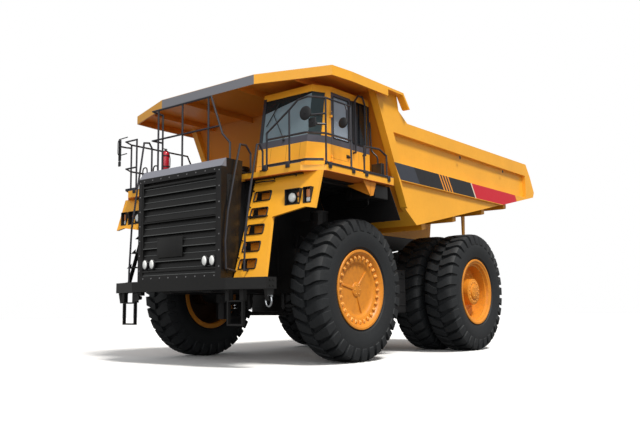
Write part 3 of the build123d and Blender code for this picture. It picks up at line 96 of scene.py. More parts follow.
def behind(d):
    """Y of a place d metres behind the front axle."""
    return front_axle_y + d


def place(x, d, z):
    """A point from its x, its distance behind the front axle and its height."""
    return Vector((x, behind(d), z))


def to_point(spot, side=1):
    """A Vector as it is, or the point at an (x, d, z) with x counted outwards on one side."""
    return spot if isinstance(spot, Vector) else place(side * spot[0], spot[1], spot[2])


def over_floor(low, high):
    """The heights between two distances over the cab's floor."""
    return (floor_z + low, floor_z + high)


def around(middle, half):
    """The range that reaches half to each side of middle."""
    return (middle - half, middle + half)


def tower_d(z):
    """Where the leaning front of the ladder tower and the fenders is, at height z."""
    return tower_foot_d + (z - bumper_top_z) * tower_slope


def to_linear(channel):
    """One sRGB channel from 0 to 255, as scene-linear light."""
    c = channel / 255
    return c / 12.92 if c <= 0.04045 else ((c + 0.055) / 1.055) ** 2.4


def rgb(red, green, blue):
    """An sRGB colour as a scene-linear RGBA value."""
    return (to_linear(red), to_linear(green), to_linear(blue), 1.0)


# Materials

def set_inputs(tree, node, inputs):
    """Gives a node's inputs their values, or links them to sockets."""
    for name, value in inputs.items():
        if isinstance(value, bpy.types.NodeSocket):
            tree.links.new(value, node.inputs[name])
        else:
            node.inputs[name].default_value = value
    return node


def add_node(tree, kind, inputs, operation=None):
    """A new shader node with its operation, and its inputs as values or sockets."""
    node = tree.nodes.new(kind)
    if operation:
        node.operation = operation
    return set_inputs(tree, node, inputs)


def mirrored_place(tree, coordinates):
    """Object coordinates with x counted outwards on both sides of the truck."""
    split = add_node(tree, "ShaderNodeSeparateXYZ", {"Vector": coordinates})
    out = add_node(tree, "ShaderNodeMath", {0: split.outputs["X"]}, "ABSOLUTE")
    joined = add_node(tree, "ShaderNodeCombineXYZ", {
        "X": out.outputs["Value"], "Y": split.outputs["Y"], "Z": split.outputs["Z"]})
    return joined.outputs["Vector"]


def band_mask(tree, mirrored, limits):
    """1 where every limit (direction, value) has direction . place above value, else 0."""
    mask = None
    for direction, value in limits:
        along = add_node(tree, "ShaderNodeVectorMath", {0: mirrored, 1: direction}, "DOT_PRODUCT")
        above = add_node(tree, "ShaderNodeMath", {0: along.outputs["Value"], 1: value},
                         "GREATER_THAN")
        if mask is None:
            mask = above.outputs["Value"]
        else:
            both = add_node(tree, "ShaderNodeMath", {0: mask, 1: above.outputs["Value"]},
                            "MULTIPLY")
            mask = both.outputs["Value"]
    return mask


def mix_colour(tree, factor, under, over):
    """A colour socket that shows the colour over, instead of the socket under, at factor 1."""
    mix = tree.nodes.new("ShaderNodeMix")
    mix.data_type = "RGBA"
    set_inputs(tree, mix, {"Factor": factor, "A": under, "B": over})
    return mix.outputs["Result"]


def surface(name, colour, rough, metallic=0.0, spread=0.05, grain=14.0, bump=0.0006,
            dirt=None, coat=0.0, bands=()):
    """A procedural finish: broad colour drift, patchy roughness, fine relief, dust, and bands,
    among them painted shade and a painted reflection.
    """
    material = bpy.data.materials.new(name)
    material.use_nodes = True
    tree = material.node_tree
    coordinates = tree.nodes.new("ShaderNodeTexCoord").outputs["Object"]

    broad = add_node(tree, "ShaderNodeTexNoise", {
        "Vector": coordinates, "Scale": 1.3, "Detail": 5.0})
    drift = add_node(tree, "ShaderNodeValToRGB", {"Fac": broad.outputs["Fac"]})
    low, high = drift.color_ramp.elements
    low.position, high.position = 0.32, 0.68
    low.color = [c * (1 - spread) for c in colour[:3]] + [1.0]
    high.color = [min(1.0, c * (1 + spread)) for c in colour[:3]] + [1.0]
    paint = drift.outputs["Color"]

    fine = add_node(tree, "ShaderNodeTexNoise", {
        "Vector": coordinates, "Scale": grain, "Detail": 8.0, "Roughness": 0.6})
    grains = fine.outputs["Fac"]
    if dirt:
        dirt_colour, dirt_share = dirt
        patches = add_node(tree, "ShaderNodeMapRange", {
            "Value": grains, "From Min": 0.45, "From Max": 0.8, "To Max": dirt_share})
        paint = mix_colour(tree, patches.outputs["Result"], paint, dirt_colour)
    if bands:
        mirrored = mirrored_place(tree, coordinates)
        for band_colour, limits in bands:
            paint = mix_colour(tree, band_mask(tree, mirrored, limits), paint, band_colour)

    gloss = add_node(tree, "ShaderNodeMapRange", {
        "Value": grains, "To Min": max(0.02, rough - 0.08), "To Max": min(1.0, rough + 0.1)})
    relief = add_node(tree, "ShaderNodeBump", {"Height": grains, "Distance": bump, "Strength": 0.6})
    set_inputs(tree, tree.nodes["Principled BSDF"], {
        "Base Color": paint, "Metallic": metallic, "Roughness": gloss.outputs["Result"],
        "Normal": relief.outputs["Normal"], "Coat Weight": coat, "Coat Roughness": 0.12})
    return material


body_colour = rgb(246, 174, 44)
# Painted shade: the yellow darkened where the front wall, the step holes and a bracket sit in
# shadow
painted_shade_colour = rgb(218, 138, 36)
dust_colour = rgb(232, 152, 44)
seam = rgb(150, 92, 20)
dark_grey = rgb(52, 56, 66)
belt_grey = rgb(76, 76, 86)
window_grey = rgb(40, 42, 48)
fascia_grey = rgb(128, 129, 136)
bevel_grey = rgb(122, 124, 134)
# Painted shade on the canopy's underside
canopy_painted_shade = rgb(238, 156, 58)
# Painted shade on the deck's underside
deck_painted_shade = rgb(222, 126, 52)
# Painted shade: black on the lower bed beams, where they sit in the dark
beam_painted_shade_black = rgb(22, 21, 22)
# Painted shade inside the front wheels' rims
rim_painted_shade = rgb(62, 38, 20)
stripe_black = rgb(24, 24, 28)
stripe_red = rgb(206, 12, 40)
bar_orange = rgb(238, 150, 40)
pale_line = rgb(236, 220, 196)


def least(way, distance):
    """The limit for places further along way than distance."""
    return (way, distance)


def most(way, distance):
    """The limit for places less far along way than distance."""
    return (tuple(-part for part in way), -distance)


def past_edge(way, x, d):
    """The limit for places inside a slanting edge of the canopy that passes (x, d)."""
    return least(way, way[0] * x + way[1] * behind(d) + 0.008)


def along_stripe(start_d, end_d):
    """The limits of the rib's face between two slanting lines that cross its middle."""
    slant = 0.7
    way = (0, 1, slant)
    start, end = [behind(d) + slant * (rib_bottom_z + rib_top_z) / 2 for d in (start_d, end_d)]
    return [least(outward, body_half_width - 0.004), least(upward, rib_bottom_z + 0.012),
            most(upward, rib_top_z - 0.012), least(way, start), most(way, end)]


stripe_bands = [
    (stripe_black, along_stripe(0.905, 4.2)),
    (dark_grey, along_stripe(0.905, 1.66)),
    (pale_line, along_stripe(4.2, 4.25)),
    (stripe_red, along_stripe(4.25, 6.72)),
]
for bar in range(4):
    bar_d = 2.69 + bar * 0.125
    stripe_bands.append((bar_orange, along_stripe(bar_d, bar_d + 0.055)))

seam_bands = [
    (seam, [least(upward, 3.62), most(upward, 3.626), most(backward, behind(-1.0))]),
    (seam, [least(backward, behind(-0.04)), most(backward, behind(-0.034)),
            least(outward, 2.3)]),
]
for seam_x in (1.32, 1.7, 2.02):
    seam_bands.append((seam, [least(outward, seam_x), most(outward, seam_x + 0.006),
                              most(backward, behind(-1.3)), most(upward, cab_sill_z)]))
canopy_bands = [
    # the fascia, and painted shade on the underside within its slanting corners and flanks
    (fascia_grey, [
        most(backward, behind(canopy_front_d) + 0.002),
        most(outward, canopy_nose_x),
        most(upward, canopy_top_z - 0.004),
    ]),
    (canopy_painted_shade, [
        most(upward, canopy_top_z - 0.004),
        least(backward, behind(canopy_front_d) + 0.012),
        past_edge((-0.326, 0.945, 0), canopy_nose_x, canopy_front_d),
        past_edge((-0.996, 0.094, 0), canopy_half_width - 0.05, -1.33),
        most(outward, canopy_half_width - 0.012),
        most(backward, behind(0.86)),
    ]),
]
cab_bands = [
    # below the windows, then the posts of the rear side window and of the inner corner
    (belt_grey, [most(upward, glass_z + 0.005)]),
    (window_grey, [
        most(upward, window_top_z + 0.004), least(upward, glass_z + 0.004),
        least(backward, behind(-0.3)), least(outward, cab_side_x - 0.004),
    ]),
    (window_grey, [
        most(upward, window_top_z + 0.05), least(upward, glass_z - 0.004),
        most(outward, cab_inner_x + 0.075), most(backward, behind(-1.0)),
    ]),
]
door_bands = [
    (seam, [least(upward, 3.7), most(upward, 3.706)]),
    (belt_grey, [least(upward, cab_sill_z)]),
]
# Grey toe boards above the deck, and painted shade on its underside
deck_bands = [
    (belt_grey, [least(upward, deck_top_z + 0.046)]),
    (deck_painted_shade, [most(upward, deck_bottom_z + 0.008)]),
]
bevel_bands = [(bevel_grey, [least(upward, radiator_top_z + 0.004), most(backward, behind(-2.35))])]
# Painted shade: the bed beams go black below 2.7 m
beam_painted_shade_bands = [(beam_painted_shade_black, [most(upward, 2.7)])]
# Painted shade on the leaning wall's forward face, and on the inner sides of the front wheels' rims
wall_painted_shade_bands = [(painted_shade_colour,
               [most((0, 1, wall_lean), wall_lean * wall_foot_z + behind(wall_foot_d) + 0.02)])]
rim_painted_shade_bands = [(rim_painted_shade, [most(outward, front_tyre_x + 0.15), least(outward, front_tyre_x - 0.27),
                          most(backward, behind(1.5))])]
# A dark band across the windscreen's top, painted reflection and shadow of the canopy; then darker
# tints on the corner facet and the rear side glass
glass_tint_and_painted_reflection_bands = [
    (rgb(40, 48, 50), [least((-0.2, 0, 1), 4.435)]),
    (rgb(62, 78, 82), [least(outward, 2.165), most(backward, behind(-0.95))]),
    (rgb(30, 34, 40), [least(outward, 2.28), least(backward, behind(-0.3))]),
]


def truck_paint(name, rough, coat=0.0, dust=0.0, bands=()):
    """The truck's yellow, with a share of dust and some bands, among them painted shade."""
    return surface(name, body_colour, rough, dirt=dust and (dust_colour, dust), coat=coat,
                   bands=bands)


def glass_material(name, colour, transmission, bands=()):
    """Tinted glass that shows what is behind it."""
    material = surface(name, colour, 0.06, spread=0.06, coat=0.6, bands=bands)
    tree = material.node_tree
    set_inputs(tree, tree.nodes["Principled BSDF"], {
        "Transmission Weight": transmission, "IOR": 1.1})
    return material


yellow = truck_paint("truck_yellow", 0.42, 0.15, 0.3)
side_paint = truck_paint("body_side_paint", 0.42, 0.15, 0.2, stripe_bands)
canopy_paint = truck_paint("canopy_paint", 0.42, 0.15, 0.2, canopy_bands)
deck_paint = truck_paint("deck_paint", 0.42, 0.15, bands=deck_bands)
wall_paint = truck_paint("front_wall_paint", 0.45, dust=0.3, bands=wall_painted_shade_bands)
lower_cab_paint = truck_paint("lower_cab_paint", 0.4, 0.2, bands=seam_bands)
cab_paint = truck_paint("cab_paint", 0.4, 0.2, bands=cab_bands)
door_paint = truck_paint("door_paint", 0.4, 0.2, bands=door_bands)
beam_paint = surface("beam_paint", body_colour, 0.45, spread=0.08, bands=beam_painted_shade_bands)
# Painted shade: the darkened yellow on the step holes' back plates and the deck bracket
painted_shade_paint = surface("painted_shade_paint", painted_shade_colour, 0.45, dirt=(dust_colour, 0.3))
radiator_paint = surface("radiator_paint", rgb(14, 13, 14), 0.36, spread=0.12, coat=0.1,
                         dirt=(rgb(40, 37, 35), 0.25), bands=bevel_bands)
rim_paint = surface("rim_paint", rgb(216, 135, 34), 0.42, spread=0.08, dirt=(rgb(150, 90, 40), 0.4),
                    bands=rim_painted_shade_bands)
clamp_paint = surface("clamp_paint", rgb(240, 172, 84), 0.38, spread=0.06)
black = surface("black_paint", rgb(17, 17, 17), 0.4, spread=0.12, dirt=(rgb(35, 33, 31), 0.3))
chassis_black = surface("chassis_black", rgb(21, 21, 23), 0.55, spread=0.15,
                        dirt=(rgb(38, 36, 34), 0.4))
# Light grey louvre lips that paint highlights on the louvres' edges
louvre_highlight_paint = surface("louvre_lip_painted_highlight", rgb(88, 90, 90), 0.32, spread=0.08)
grey = surface("toe_board_grey", rgb(92, 92, 100), 0.45)
rail_grey = surface("rail_grey", rgb(44, 44, 50), 0.4, spread=0.08, grain=40)
rubber = surface("tyre_rubber", rgb(24, 27, 30), 0.66, spread=0.15, grain=30, bump=0.0015,
                 dirt=(rgb(52, 54, 56), 0.35))
steel = surface("rod_chrome", rgb(200, 204, 208), 0.18, metallic=1.0, spread=0.03)
iron = surface("cast_iron", rgb(44, 44, 46), 0.6, spread=0.12, grain=60, bump=0.001)
bolt_grey = surface("bolt_grey", rgb(120, 120, 122), 0.4)
plastic = surface("black_plastic", rgb(22, 22, 25), 0.55, spread=0.06, grain=120, bump=0.0004)
cloth = surface("seat_cloth", rgb(48, 50, 56), 0.9, spread=0.08, grain=260, bump=0.001)
lens = surface("lamp_lens", rgb(238, 240, 238), 0.12, spread=0.03, grain=60, coat=0.8)
amber = surface("amber_lens", rgb(216, 138, 84), 0.15, grain=60, coat=0.8)
red = surface("red_paint", rgb(182, 30, 48), 0.28, coat=0.5)
mirror_face = surface("mirror_face", rgb(150, 158, 165), 0.08, metallic=1.0, spread=0.02)
glass = glass_material("cab_glass", rgb(140, 160, 170), 0.35, glass_tint_and_painted_reflection_bands)
door_glass = glass_material("door_glass", rgb(176, 190, 206), 0.3)
dark_glass = glass_material("dark_glass", rgb(34, 40, 46), 0.3)


def dress(material, *names):
    """Gives CAD nodes a finish."""
    for name in names:
        data = nodes[name].data
        data.materials.clear()
        data.materials.append(material)


dress(yellow, "bed_floor", "bed_bolsters", "hoist_head_ears", "left_fender", "right_fender")
dress(side_paint, "bed_sides")
dress(canopy_paint, "bed_canopy")
dress(deck_paint, "deck_platform")
dress(wall_paint, "bed_front_wall")
dress(lower_cab_paint, "cab_body")
dress(cab_paint, "cab_frame")
dress(door_paint, "cab_door")
dress(beam_paint, "bed_beams")
dress(radiator_paint, "radiator_housing")
dress(chassis_black, "main_frame", "engine_hood", "transmission", "drive_shaft",
      "suspension_struts", "rear_axle_housing", "tie_rod", "fuel_tank", "hydraulic_tank")
dress(black, "front_bumper", "radiator_grille", "boarding_steps")
dress(iron, "engine_block")
dress(rail_grey, "deck_handrails", "ladder_handrails", "hood_guard_rail", "cab_grab_loop")
for hand, side in both_sides:
    dress(chassis_black, f"{hand}_knuckle", f"{hand}_hoist_barrel", f"{hand}_steering_barrel")
    dress(steel, f"{hand}_hoist_stage", f"{hand}_hoist_rod", f"{hand}_steering_rod")
    dress(rubber, f"front_{hand}_tyre", f"rear_{hand}_tyres")
    dress(rim_paint, f"front_{hand}_rim", f"rear_{hand}_rims")
dress(glass, "cab_glass")
dress(door_glass, "cab_door_glass")
dress(plastic, "dash_panel", "steering_wheel", "mirrors")
dress(cloth, "operator_seat")
dress(lens, "lamps")
dress(red, "fire_extinguisher")


# Mesh helpers, which add to the piece in work unless another bmesh is named

work = bmesh.new()


def add_object(name, data):
    """An object with this data, in the scene."""
    made = bpy.data.objects.new(name, data)
    bpy.context.scene.collection.objects.link(made)
    return made


def finish(name, material, body="chassis", smooth=35, replaced=(), bm=work):
    """Turns a bmesh into a piece on a body, facing outward, and empties it for the next."""
    bmesh.ops.remove_doubles(bm, verts=bm.verts, dist=0.00002)
    bmesh.ops.recalc_face_normals(bm, faces=bm.faces)
    mesh = bpy.data.meshes.new(name)
    bm.to_mesh(mesh)
    bm.clear()
    piece = add_object(name, mesh)
    mesh.materials.append(material)
    mesh.shade_smooth()
    mesh.set_sharp_from_angle(angle=radians(smooth))
    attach(piece, body)
    if replaced:
        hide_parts(*replaced)
    return piece


def soften(bm, verts, width, segments=2):
    """Rounds the edges that join verts."""
    corners = set(verts)
    edges = {edge for vert in verts for edge in vert.link_edges if set(edge.verts) <= corners}
    bmesh.ops.bevel(bm, geom=list(edges), offset=width, segments=segments, affect="EDGES",
                    profile=0.5, material=-1)


def box(x_range, d_range, z_range, soft=0.006, segments=2, side=1, bm=work):
    """A box between two x values, two distances and two heights, with rounded edges."""
    verts = bmesh.ops.create_cube(bm, size=1)["verts"]
    xs = [side * x for x in x_range]
    low = place(min(xs), min(d_range), min(z_range))
    high = place(max(xs), max(d_range), max(z_range))
    bmesh.ops.scale(bm, vec=high - low, verts=verts)
    bmesh.ops.translate(bm, vec=(low + high) / 2, verts=verts)
    soften(bm, verts, soft, segments)


def plate(outline, thickness, soft=0.0, bm=work):
    """A plate from its outline's points, thickened by a vector."""
    face = bm.faces.new([bm.verts.new(to_point(spot)) for spot in outline])
    front = list(face.verts)
    grown = bmesh.ops.extrude_face_region(bm, geom=[face])["geom"]
    back = [item for item in grown if isinstance(item, bmesh.types.BMVert)]
    bmesh.ops.translate(bm, vec=thickness, verts=back)
    if soft:
        soften(bm, front + back, soft, 1)


def knob(centre, axis, radius, height, sides=6, bm=work):
    """A bolt head or a short round boss standing on centre along axis."""
    axis = Vector(axis).normalized()
    turn = axis.to_track_quat("Z", "Y").to_matrix().to_4x4()
    middle = Matrix.Translation(to_point(centre) + axis * height / 2)
    bmesh.ops.create_cone(bm, cap_ends=True, segments=sides, radius1=radius, radius2=radius * 0.9,
                          depth=height, matrix=middle @ turn)


def knobs(xs, ds, zs, axis, radius, height):
    """A bolt head at every meeting of some x values, distances and heights."""
    for x in xs:
        for d in ds:
            for z in zs:
                knob((x, d, z), axis, radius, height)


def rounded(points, reach, steps=4):
    """A path through points with its corners rounded over reach."""
    path = [points[0]]
    for before_it, corner, after_it in zip(points, points[1:], points[2:]):
        to_start, to_end = before_it - corner, after_it - corner
        start = corner + to_start.normalized() * min(reach, to_start.length * 0.45)
        end = corner + to_end.normalized() * min(reach, to_end.length * 0.45)
        for step in range(steps + 1):
            t = step / steps
            path.append(start * (1 - t) ** 2 + corner * (2 * t * (1 - t)) + end * t ** 2)
    path.append(points[-1])
    return path


def add_ring(bm, centre, way, other, radius, sides):
    """A ring of verts round centre, in the plane of two ways."""
    turns = [2 * pi * step / sides for step in range(sides)]
    return [bm.verts.new(centre + (way * cos(turn) + other * sin(turn)) * radius) for turn in turns]


def add_skin(bm, rings, closed=True):
    """The faces between neighbouring rings of verts, and the two ends."""
    for near, far in zip(rings, rings[1:]):
        count = len(near)
        for k in range(count):
            bm.faces.new((near[k], near[(k + 1) % count], far[(k + 1) % count], far[k]))
    if closed:
        bm.faces.new(rings[0])
        bm.faces.new(rings[-1])


def tube(spots, radius, reach=0.06, sides=10, side=1, bm=work):
    """A round tube or hose along points, with rounded bends and closed ends."""
    path = rounded([to_point(spot, side) for spot in spots], reach)
    rings = []
    side_way = None
    for k, point in enumerate(path):
        way = (path[min(k + 1, len(path) - 1)] - path[max(k - 1, 0)]).normalized()
        if side_way is None:
            side_way = way.orthogonal()
        side_way = (side_way - way * side_way.dot(way)).normalized()
        rings.append(add_ring(bm, point, side_way, way.cross(side_way), radius, sides))
    add_skin(bm, rings)


def hoop(x_range, d, z_range, radius, reach):
    """A tube that goes up, across and down again."""
    (near, far), (low, high) = x_range, z_range
    tube([(near, d, low), (near, d, high), (far, d, high), (far, d, low)], radius, reach)


def seal(x, d_range, z_range):
    """A rubber seal round a side window."""
    (front, rear), (low, high) = d_range, z_range
    tube([(x, front, low), (x, rear, low), (x, rear, high), (x, front, high), (x, front, low)],
         0.009, 0.03, 8)


def spin_profile(bm, verts, centre, axis, segments):
    """Joins verts in a row and turns them about an axis."""
    edges = [bm.edges.new(pair) for pair in zip(verts, verts[1:])]
    bmesh.ops.spin(bm, geom=verts + edges, cent=centre, axis=axis, angle=2 * pi, steps=segments,
                   use_merge=True)


def turned(profile, x, y, side=1):
    """A form turned about an axle at (y, axle_z), from (offset outwards, radius) points."""
    verts = [work.verts.new((x + side * offset, y, axle_z + radius)) for offset, radius in profile]
    spin_profile(work, verts, (x, y, axle_z), outward, wheel_segments)


def lathe(profile, origin, axis, segments=32, bm=work):
    """A form turned about any axis, from (distance along it, radius) points."""
    axis = Vector(axis).normalized()
    square = axis.orthogonal().normalized()
    origin = to_point(origin)
    verts = [bm.verts.new(origin + axis * along + square * radius) for along, radius in profile]
    spin_profile(bm, verts, origin, axis, segments)


def band(origin, axis, inner, outer, height, segments=32):
    """A plain band about an axis, between two radii."""
    lathe([(0.0, inner), (0.0, outer), (height, outer), (height, inner)], origin, axis, segments)


def add_cushion(x_range, d_range, z_range, lean=0.0):
    """A stuffed pad, rounded on all sides and leaning back by lean."""
    bmesh.ops.create_cube(work, size=2)
    bmesh.ops.subdivide_edges(work, edges=work.edges, cuts=11, use_grid_fill=True)
    ranges = (x_range, d_range, z_range)
    x_middle, d_middle, z_middle = [sum(ends) / 2 for ends in ranges]
    x_half, d_half, z_half = [abs(ends[1] - ends[0]) / 2 for ends in ranges]
    for vert in work.verts:
        u, v, w = vert.co
        length = (abs(u) ** 5 + abs(v) ** 5 + abs(w) ** 5) ** 0.2
        u, v, w = u / length, v / length, w / length
        groove = 1 - 0.05 * max(0.0, cos(3 * pi * u)) ** 6
        d = d_middle + v * d_half * groove + lean * (w + 1) * z_half
        vert.co = place(x_middle + u * x_half, d, z_middle + w * z_half * groove)


# Tyres: a turned carcass with lugs across the tread and over the shoulders
half_carcass = [
    # offset from the tyre's middle, radius
    (0.12, 1.268), (0.24, 1.258), (0.305, 1.235), (0.33, 1.18), (0.345, 1.12), (0.357, 1.06),
    (0.362, 1.0), (0.35, 0.9), (0.322, 0.8), (0.3, 0.79), (0.28, 0.75),
]
other_half = [(-offset, radius) for offset, radius in reversed(half_carcass)]
carcass_profile = other_half + [(0.0, 1.27)] + half_carcass
carcass_profile += [(0.28, 0.702), (-0.28, 0.702), (-0.28, 0.75)]
lug_sections = [
    # offset, outer radius, root offset, root radius, lead round the tread, half width
    (0.006, 1.339, 0.006, 1.255, 0.0, 0.054),
    (0.07, 1.339, 0.07, 1.255, 0.008, 0.072),
    (0.14, 1.338, 0.14, 1.25, 0.04, 0.08),
    (0.215, 1.336, 0.212, 1.24, 0.08, 0.086),
    (0.285, 1.328, 0.27, 1.225, 0.104, 0.09),
    (0.33, 1.3, 0.3, 1.2, 0.114, 0.09),
    (0.352, 1.235, 0.322, 1.15, 0.118, 0.084),
    (0.364, 1.15, 0.338, 1.09, 0.118, 0.076),
    (0.364, 1.105, 0.345, 1.08, 0.118, 0.068),
]
lug_count = 32


def on_wheel(x, y, radius, angle):
    """The point at a radius and an angle on a wheel about (x, y, axle_z)."""
    return Vector((x, y + radius * sin(angle), axle_z + radius * cos(angle)))


def add_lug(x, y, side, turn):
    """One lug, lofted through its sections from the tread's middle to the sidewall."""
    rings = []
    for offset, radius, root_offset, root_radius, lead, half in lug_sections:
        ring = []
        for reach, r, widen in ((root_offset, root_radius, 1.1), (offset, radius, 1.0)):
            for edge in (-1, 1):
                angle = turn + (lead + edge * half * widen) / tread_radius
                ring.append(work.verts.new(on_wheel(x + side * reach, y, r, angle)))
        rings.append([ring[0], ring[1], ring[3], ring[2]])
    add_skin(work, rings)


def add_tyre(x, y):
    """One tyre about (x, y, axle_z)."""
    turned(carcass_profile, x, y)
    pitch = 2 * pi / lug_count
    for side in (1, -1):
        for step in range(lug_count):
            turn = step * pitch + (pitch / 2 if side > 0 else 0)
            add_lug(x, y, side, turn)


for hand, side in both_sides:
    add_tyre(side * front_tyre_x, front_axle_y)
    finish(f"front_{hand}_tyre_lugged", rubber, f"front_{hand}_wheel", smooth=32,
           replaced=[f"front_{hand}_tyre"])
    for x in (rear_outer_tyre_x, rear_inner_tyre_x):
        add_tyre(side * x, behind(wheelbase))
    finish(f"rear_{hand}_tyres_lugged", rubber, f"rear_{hand}_wheels", smooth=32,
           replaced=[f"rear_{hand}_tyres"])

# Rims, turned from their hub caps out over the flanges and back inside to the hub bores
front_rim_profile = [
    # offset from the tyre's middle, radius
    (0.212, 0.0), (0.212, 0.11), (0.204, 0.13), (0.186, 0.14), (0.184, 0.42),
    (0.19, 0.458), (0.206, 0.492), (0.222, 0.506), (0.236, 0.53), (0.246, 0.632),
    (0.268, 0.65), (0.29, 0.668), (0.3, 0.69), (0.312, 0.706), (0.313, 0.74),
    (0.306, 0.748), (0.287, 0.748), (0.285, 0.7), (-0.285, 0.7), (-0.287, 0.748),
    (-0.306, 0.748), (-0.313, 0.74), (-0.312, 0.66), (-0.28, 0.64), (0.11, 0.62),
    (0.118, 0.56), (0.12, 0.26), (0.11, 0.232), (-0.205, 0.228), (-0.21, 0.2),
    (-0.2, 0.16), (0.048, 0.15), (0.052, 0.0),
]
rear_rim_profile = [
    # offset from the outer tyre's middle, radius
    (0.264, 0.0), (0.264, 0.15), (0.256, 0.166), (0.232, 0.172), (0.23, 0.28),
    (0.218, 0.298), (-0.004, 0.302), (-0.016, 0.33), (-0.017, 0.552), (0.0, 0.58),
    (0.218, 0.596), (0.226, 0.634), (0.284, 0.65), (0.296, 0.69), (0.312, 0.706),
    (0.313, 0.74), (0.306, 0.748), (0.287, 0.748), (0.285, 0.7), (-1.135, 0.7),
    (-1.137, 0.748), (-1.156, 0.748), (-1.163, 0.74), (-1.16, 0.656), (-1.13, 0.636),
    (-0.1, 0.626), (-0.077, 0.6), (-0.077, 0.33), (-0.09, 0.312), (-0.63, 0.306),
    (-0.636, 0.27), (-0.62, 0.234), (-0.09, 0.232), (-0.086, 0.0),
]
clamp_plan = ((0.566, 0.02), (0.622, 0.026), (0.64, 0.024))
clamp_offset, clamp_height, clamp_count = 0.246, 0.026, 28
rib_plan = ((0.12, 0.03), (0.455, 0.02), (0.455, -0.02), (0.12, -0.03))


def wheel_ways(angle):
    """The ways outwards along a wheel's radius and across it, at an angle."""
    return Vector((0, sin(angle), cos(angle))), Vector((0, cos(angle), -sin(angle)))


def wheel_ring(x, y, side, offset, radius, count, knob_radius, height):
    """A ring of bolts standing outwards on a wheel."""
    for step in range(count):
        angle = 2 * pi * (step + 0.5) / count
        centre = on_wheel(x + side * offset, y, radius, angle)
        knob(centre, (side, 0, 0), knob_radius, height)


def add_clamp(x, y, side, angle):
    """One rim clamp, a wedge with a nut, lying outwards along the rim's radius."""
    way, across = wheel_ways(angle)
    base = Vector((x + side * clamp_offset, y, axle_z))
    corners = [base + way * r + across * h for r, h in clamp_plan]
    corners += [base + way * r - across * h for r, h in reversed(clamp_plan)]
    thickness = Vector((side * clamp_height, 0, 0))
    plate(corners, thickness, 0.004)
    knob(base + way * 0.6 + thickness, (side, 0, 0), 0.017, 0.02)


for hand, side in both_sides:
    x, y = side * front_tyre_x, front_axle_y
    body = f"front_{hand}_wheel"
    turned(front_rim_profile, x, y, side)
    for spoke in range(3):
        way, across = wheel_ways(2 * pi * (spoke + 0.35) / 3)
        hub = Vector((x + side * 0.18, y, axle_z))
        outline = [hub + way * r + across * h for r, h in rib_plan]
        plate(outline, (side * 0.024, 0, 0), 0.008)
    finish(f"front_{hand}_rim_turned", rim_paint, body,
           replaced=[f"front_{hand}_rim"])
    for step in range(clamp_count):
        add_clamp(x, y, side, 2 * pi * step / clamp_count)
    wheel_ring(x, y, side, 0.212, 0.085, 6, 0.012, 0.01)
    finish(f"front_{hand}_rim_clamps", clamp_paint, body)

    x, y = side * rear_outer_tyre_x, behind(wheelbase)
    body = f"rear_{hand}_wheels"
    turned(rear_rim_profile, x, y, side)
    finish(f"rear_{hand}_rims_turned", rim_paint, body,
           replaced=[f"rear_{hand}_rims"])
    wheel_ring(x, y, side, -0.017, 0.44, 24, 0.02, 0.026)
    wheel_ring(x, y, side, 0.23, 0.228, 16, 0.015, 0.014)
    wheel_ring(x, y, side, 0.264, 0.11, 6, 0.012, 0.01)
    finish(f"rear_{hand}_rim_nuts", clamp_paint, body)

# Front end: bolts round the radiator's frame, its blank plate and bars, and side panels
knobs([-0.96 + row * 0.24 for row in range(9)], [radiator_d], (1.585, 3.44), forward, 0.013, 0.007)
knobs((-1.075, 1.075), [radiator_d], [1.74 + row * 0.28 for row in range(7)], forward, 0.013, 0.007)
finish("radiator_bolts", bolt_grey)

box((-0.57, 0.13), (radiator_d + 0.004, radiator_d + 0.016), (1.96, 2.33), 0.004)
knobs((-0.54, 0.1), [radiator_d + 0.004], (1.99, 2.3), forward, 0.01, 0.004)
for z in (1.7, 2.62, 3.3):
    box((-1.02, 1.02), (radiator_d + 0.006, radiator_d + 0.022), (z, z + 0.035), 0.004)
finish("radiator_plate", black)

# Pressed lips across the louvres, at each lower edge and halfway up, in a light grey that paints
# highlights on the louvres' edges
for row in range(louvre_count):
    for share in (0.0, 0.5):
        z = grille_bottom_z + (row + share) * louvre_pitch + 0.003
        d = radiator_d + 0.012 + louvre_tilt * share
        box((-0.978, 0.978), (d - 0.006, d + 0.01), (z, z + 0.013), 0.002, 1)
finish("louvre_lips", louvre_highlight_paint)

for side in (1, -1):
    box((1.1225, 1.13), (-2.33, -2.06), (1.62, 3.36), 0.003, side=side)
    knobs([side * 1.13], (-2.28, -2.11), (1.75, 2.3, 2.85, 3.25), (side, 0, 0), 0.012, 0.006)
finish("radiator_side_panels", black)

# Oval lamps on the radiator's frame
oval_dome = [(0.0, 0.062), (0.01, 0.06), (0.022, 0.048), (0.028, 0.03), (0.03, 0.0)]
oval_bezel = [(-0.02, 0.074), (0.006, 0.076), (0.014, 0.072), (0.014, 0.064), (0.0, 0.062)]
lens_bm = bmesh.new()
for x in (-0.9, -0.7, 0.72, 0.91):
    centre = place(x, radiator_d - 0.002, 1.85)
    for bm, profile in ((lens_bm, oval_dome), (work, oval_bezel)):
        known = set(bm.verts)
        lathe(profile, centre, forward, 28, bm=bm)
        fresh = [vert for vert in bm.verts if vert not in known]
        bmesh.ops.translate(bm, vec=-centre, verts=fresh)
        bmesh.ops.scale(bm, vec=(1, 1, 1.4), verts=fresh)
        bmesh.ops.translate(bm, vec=centre, verts=fresh)

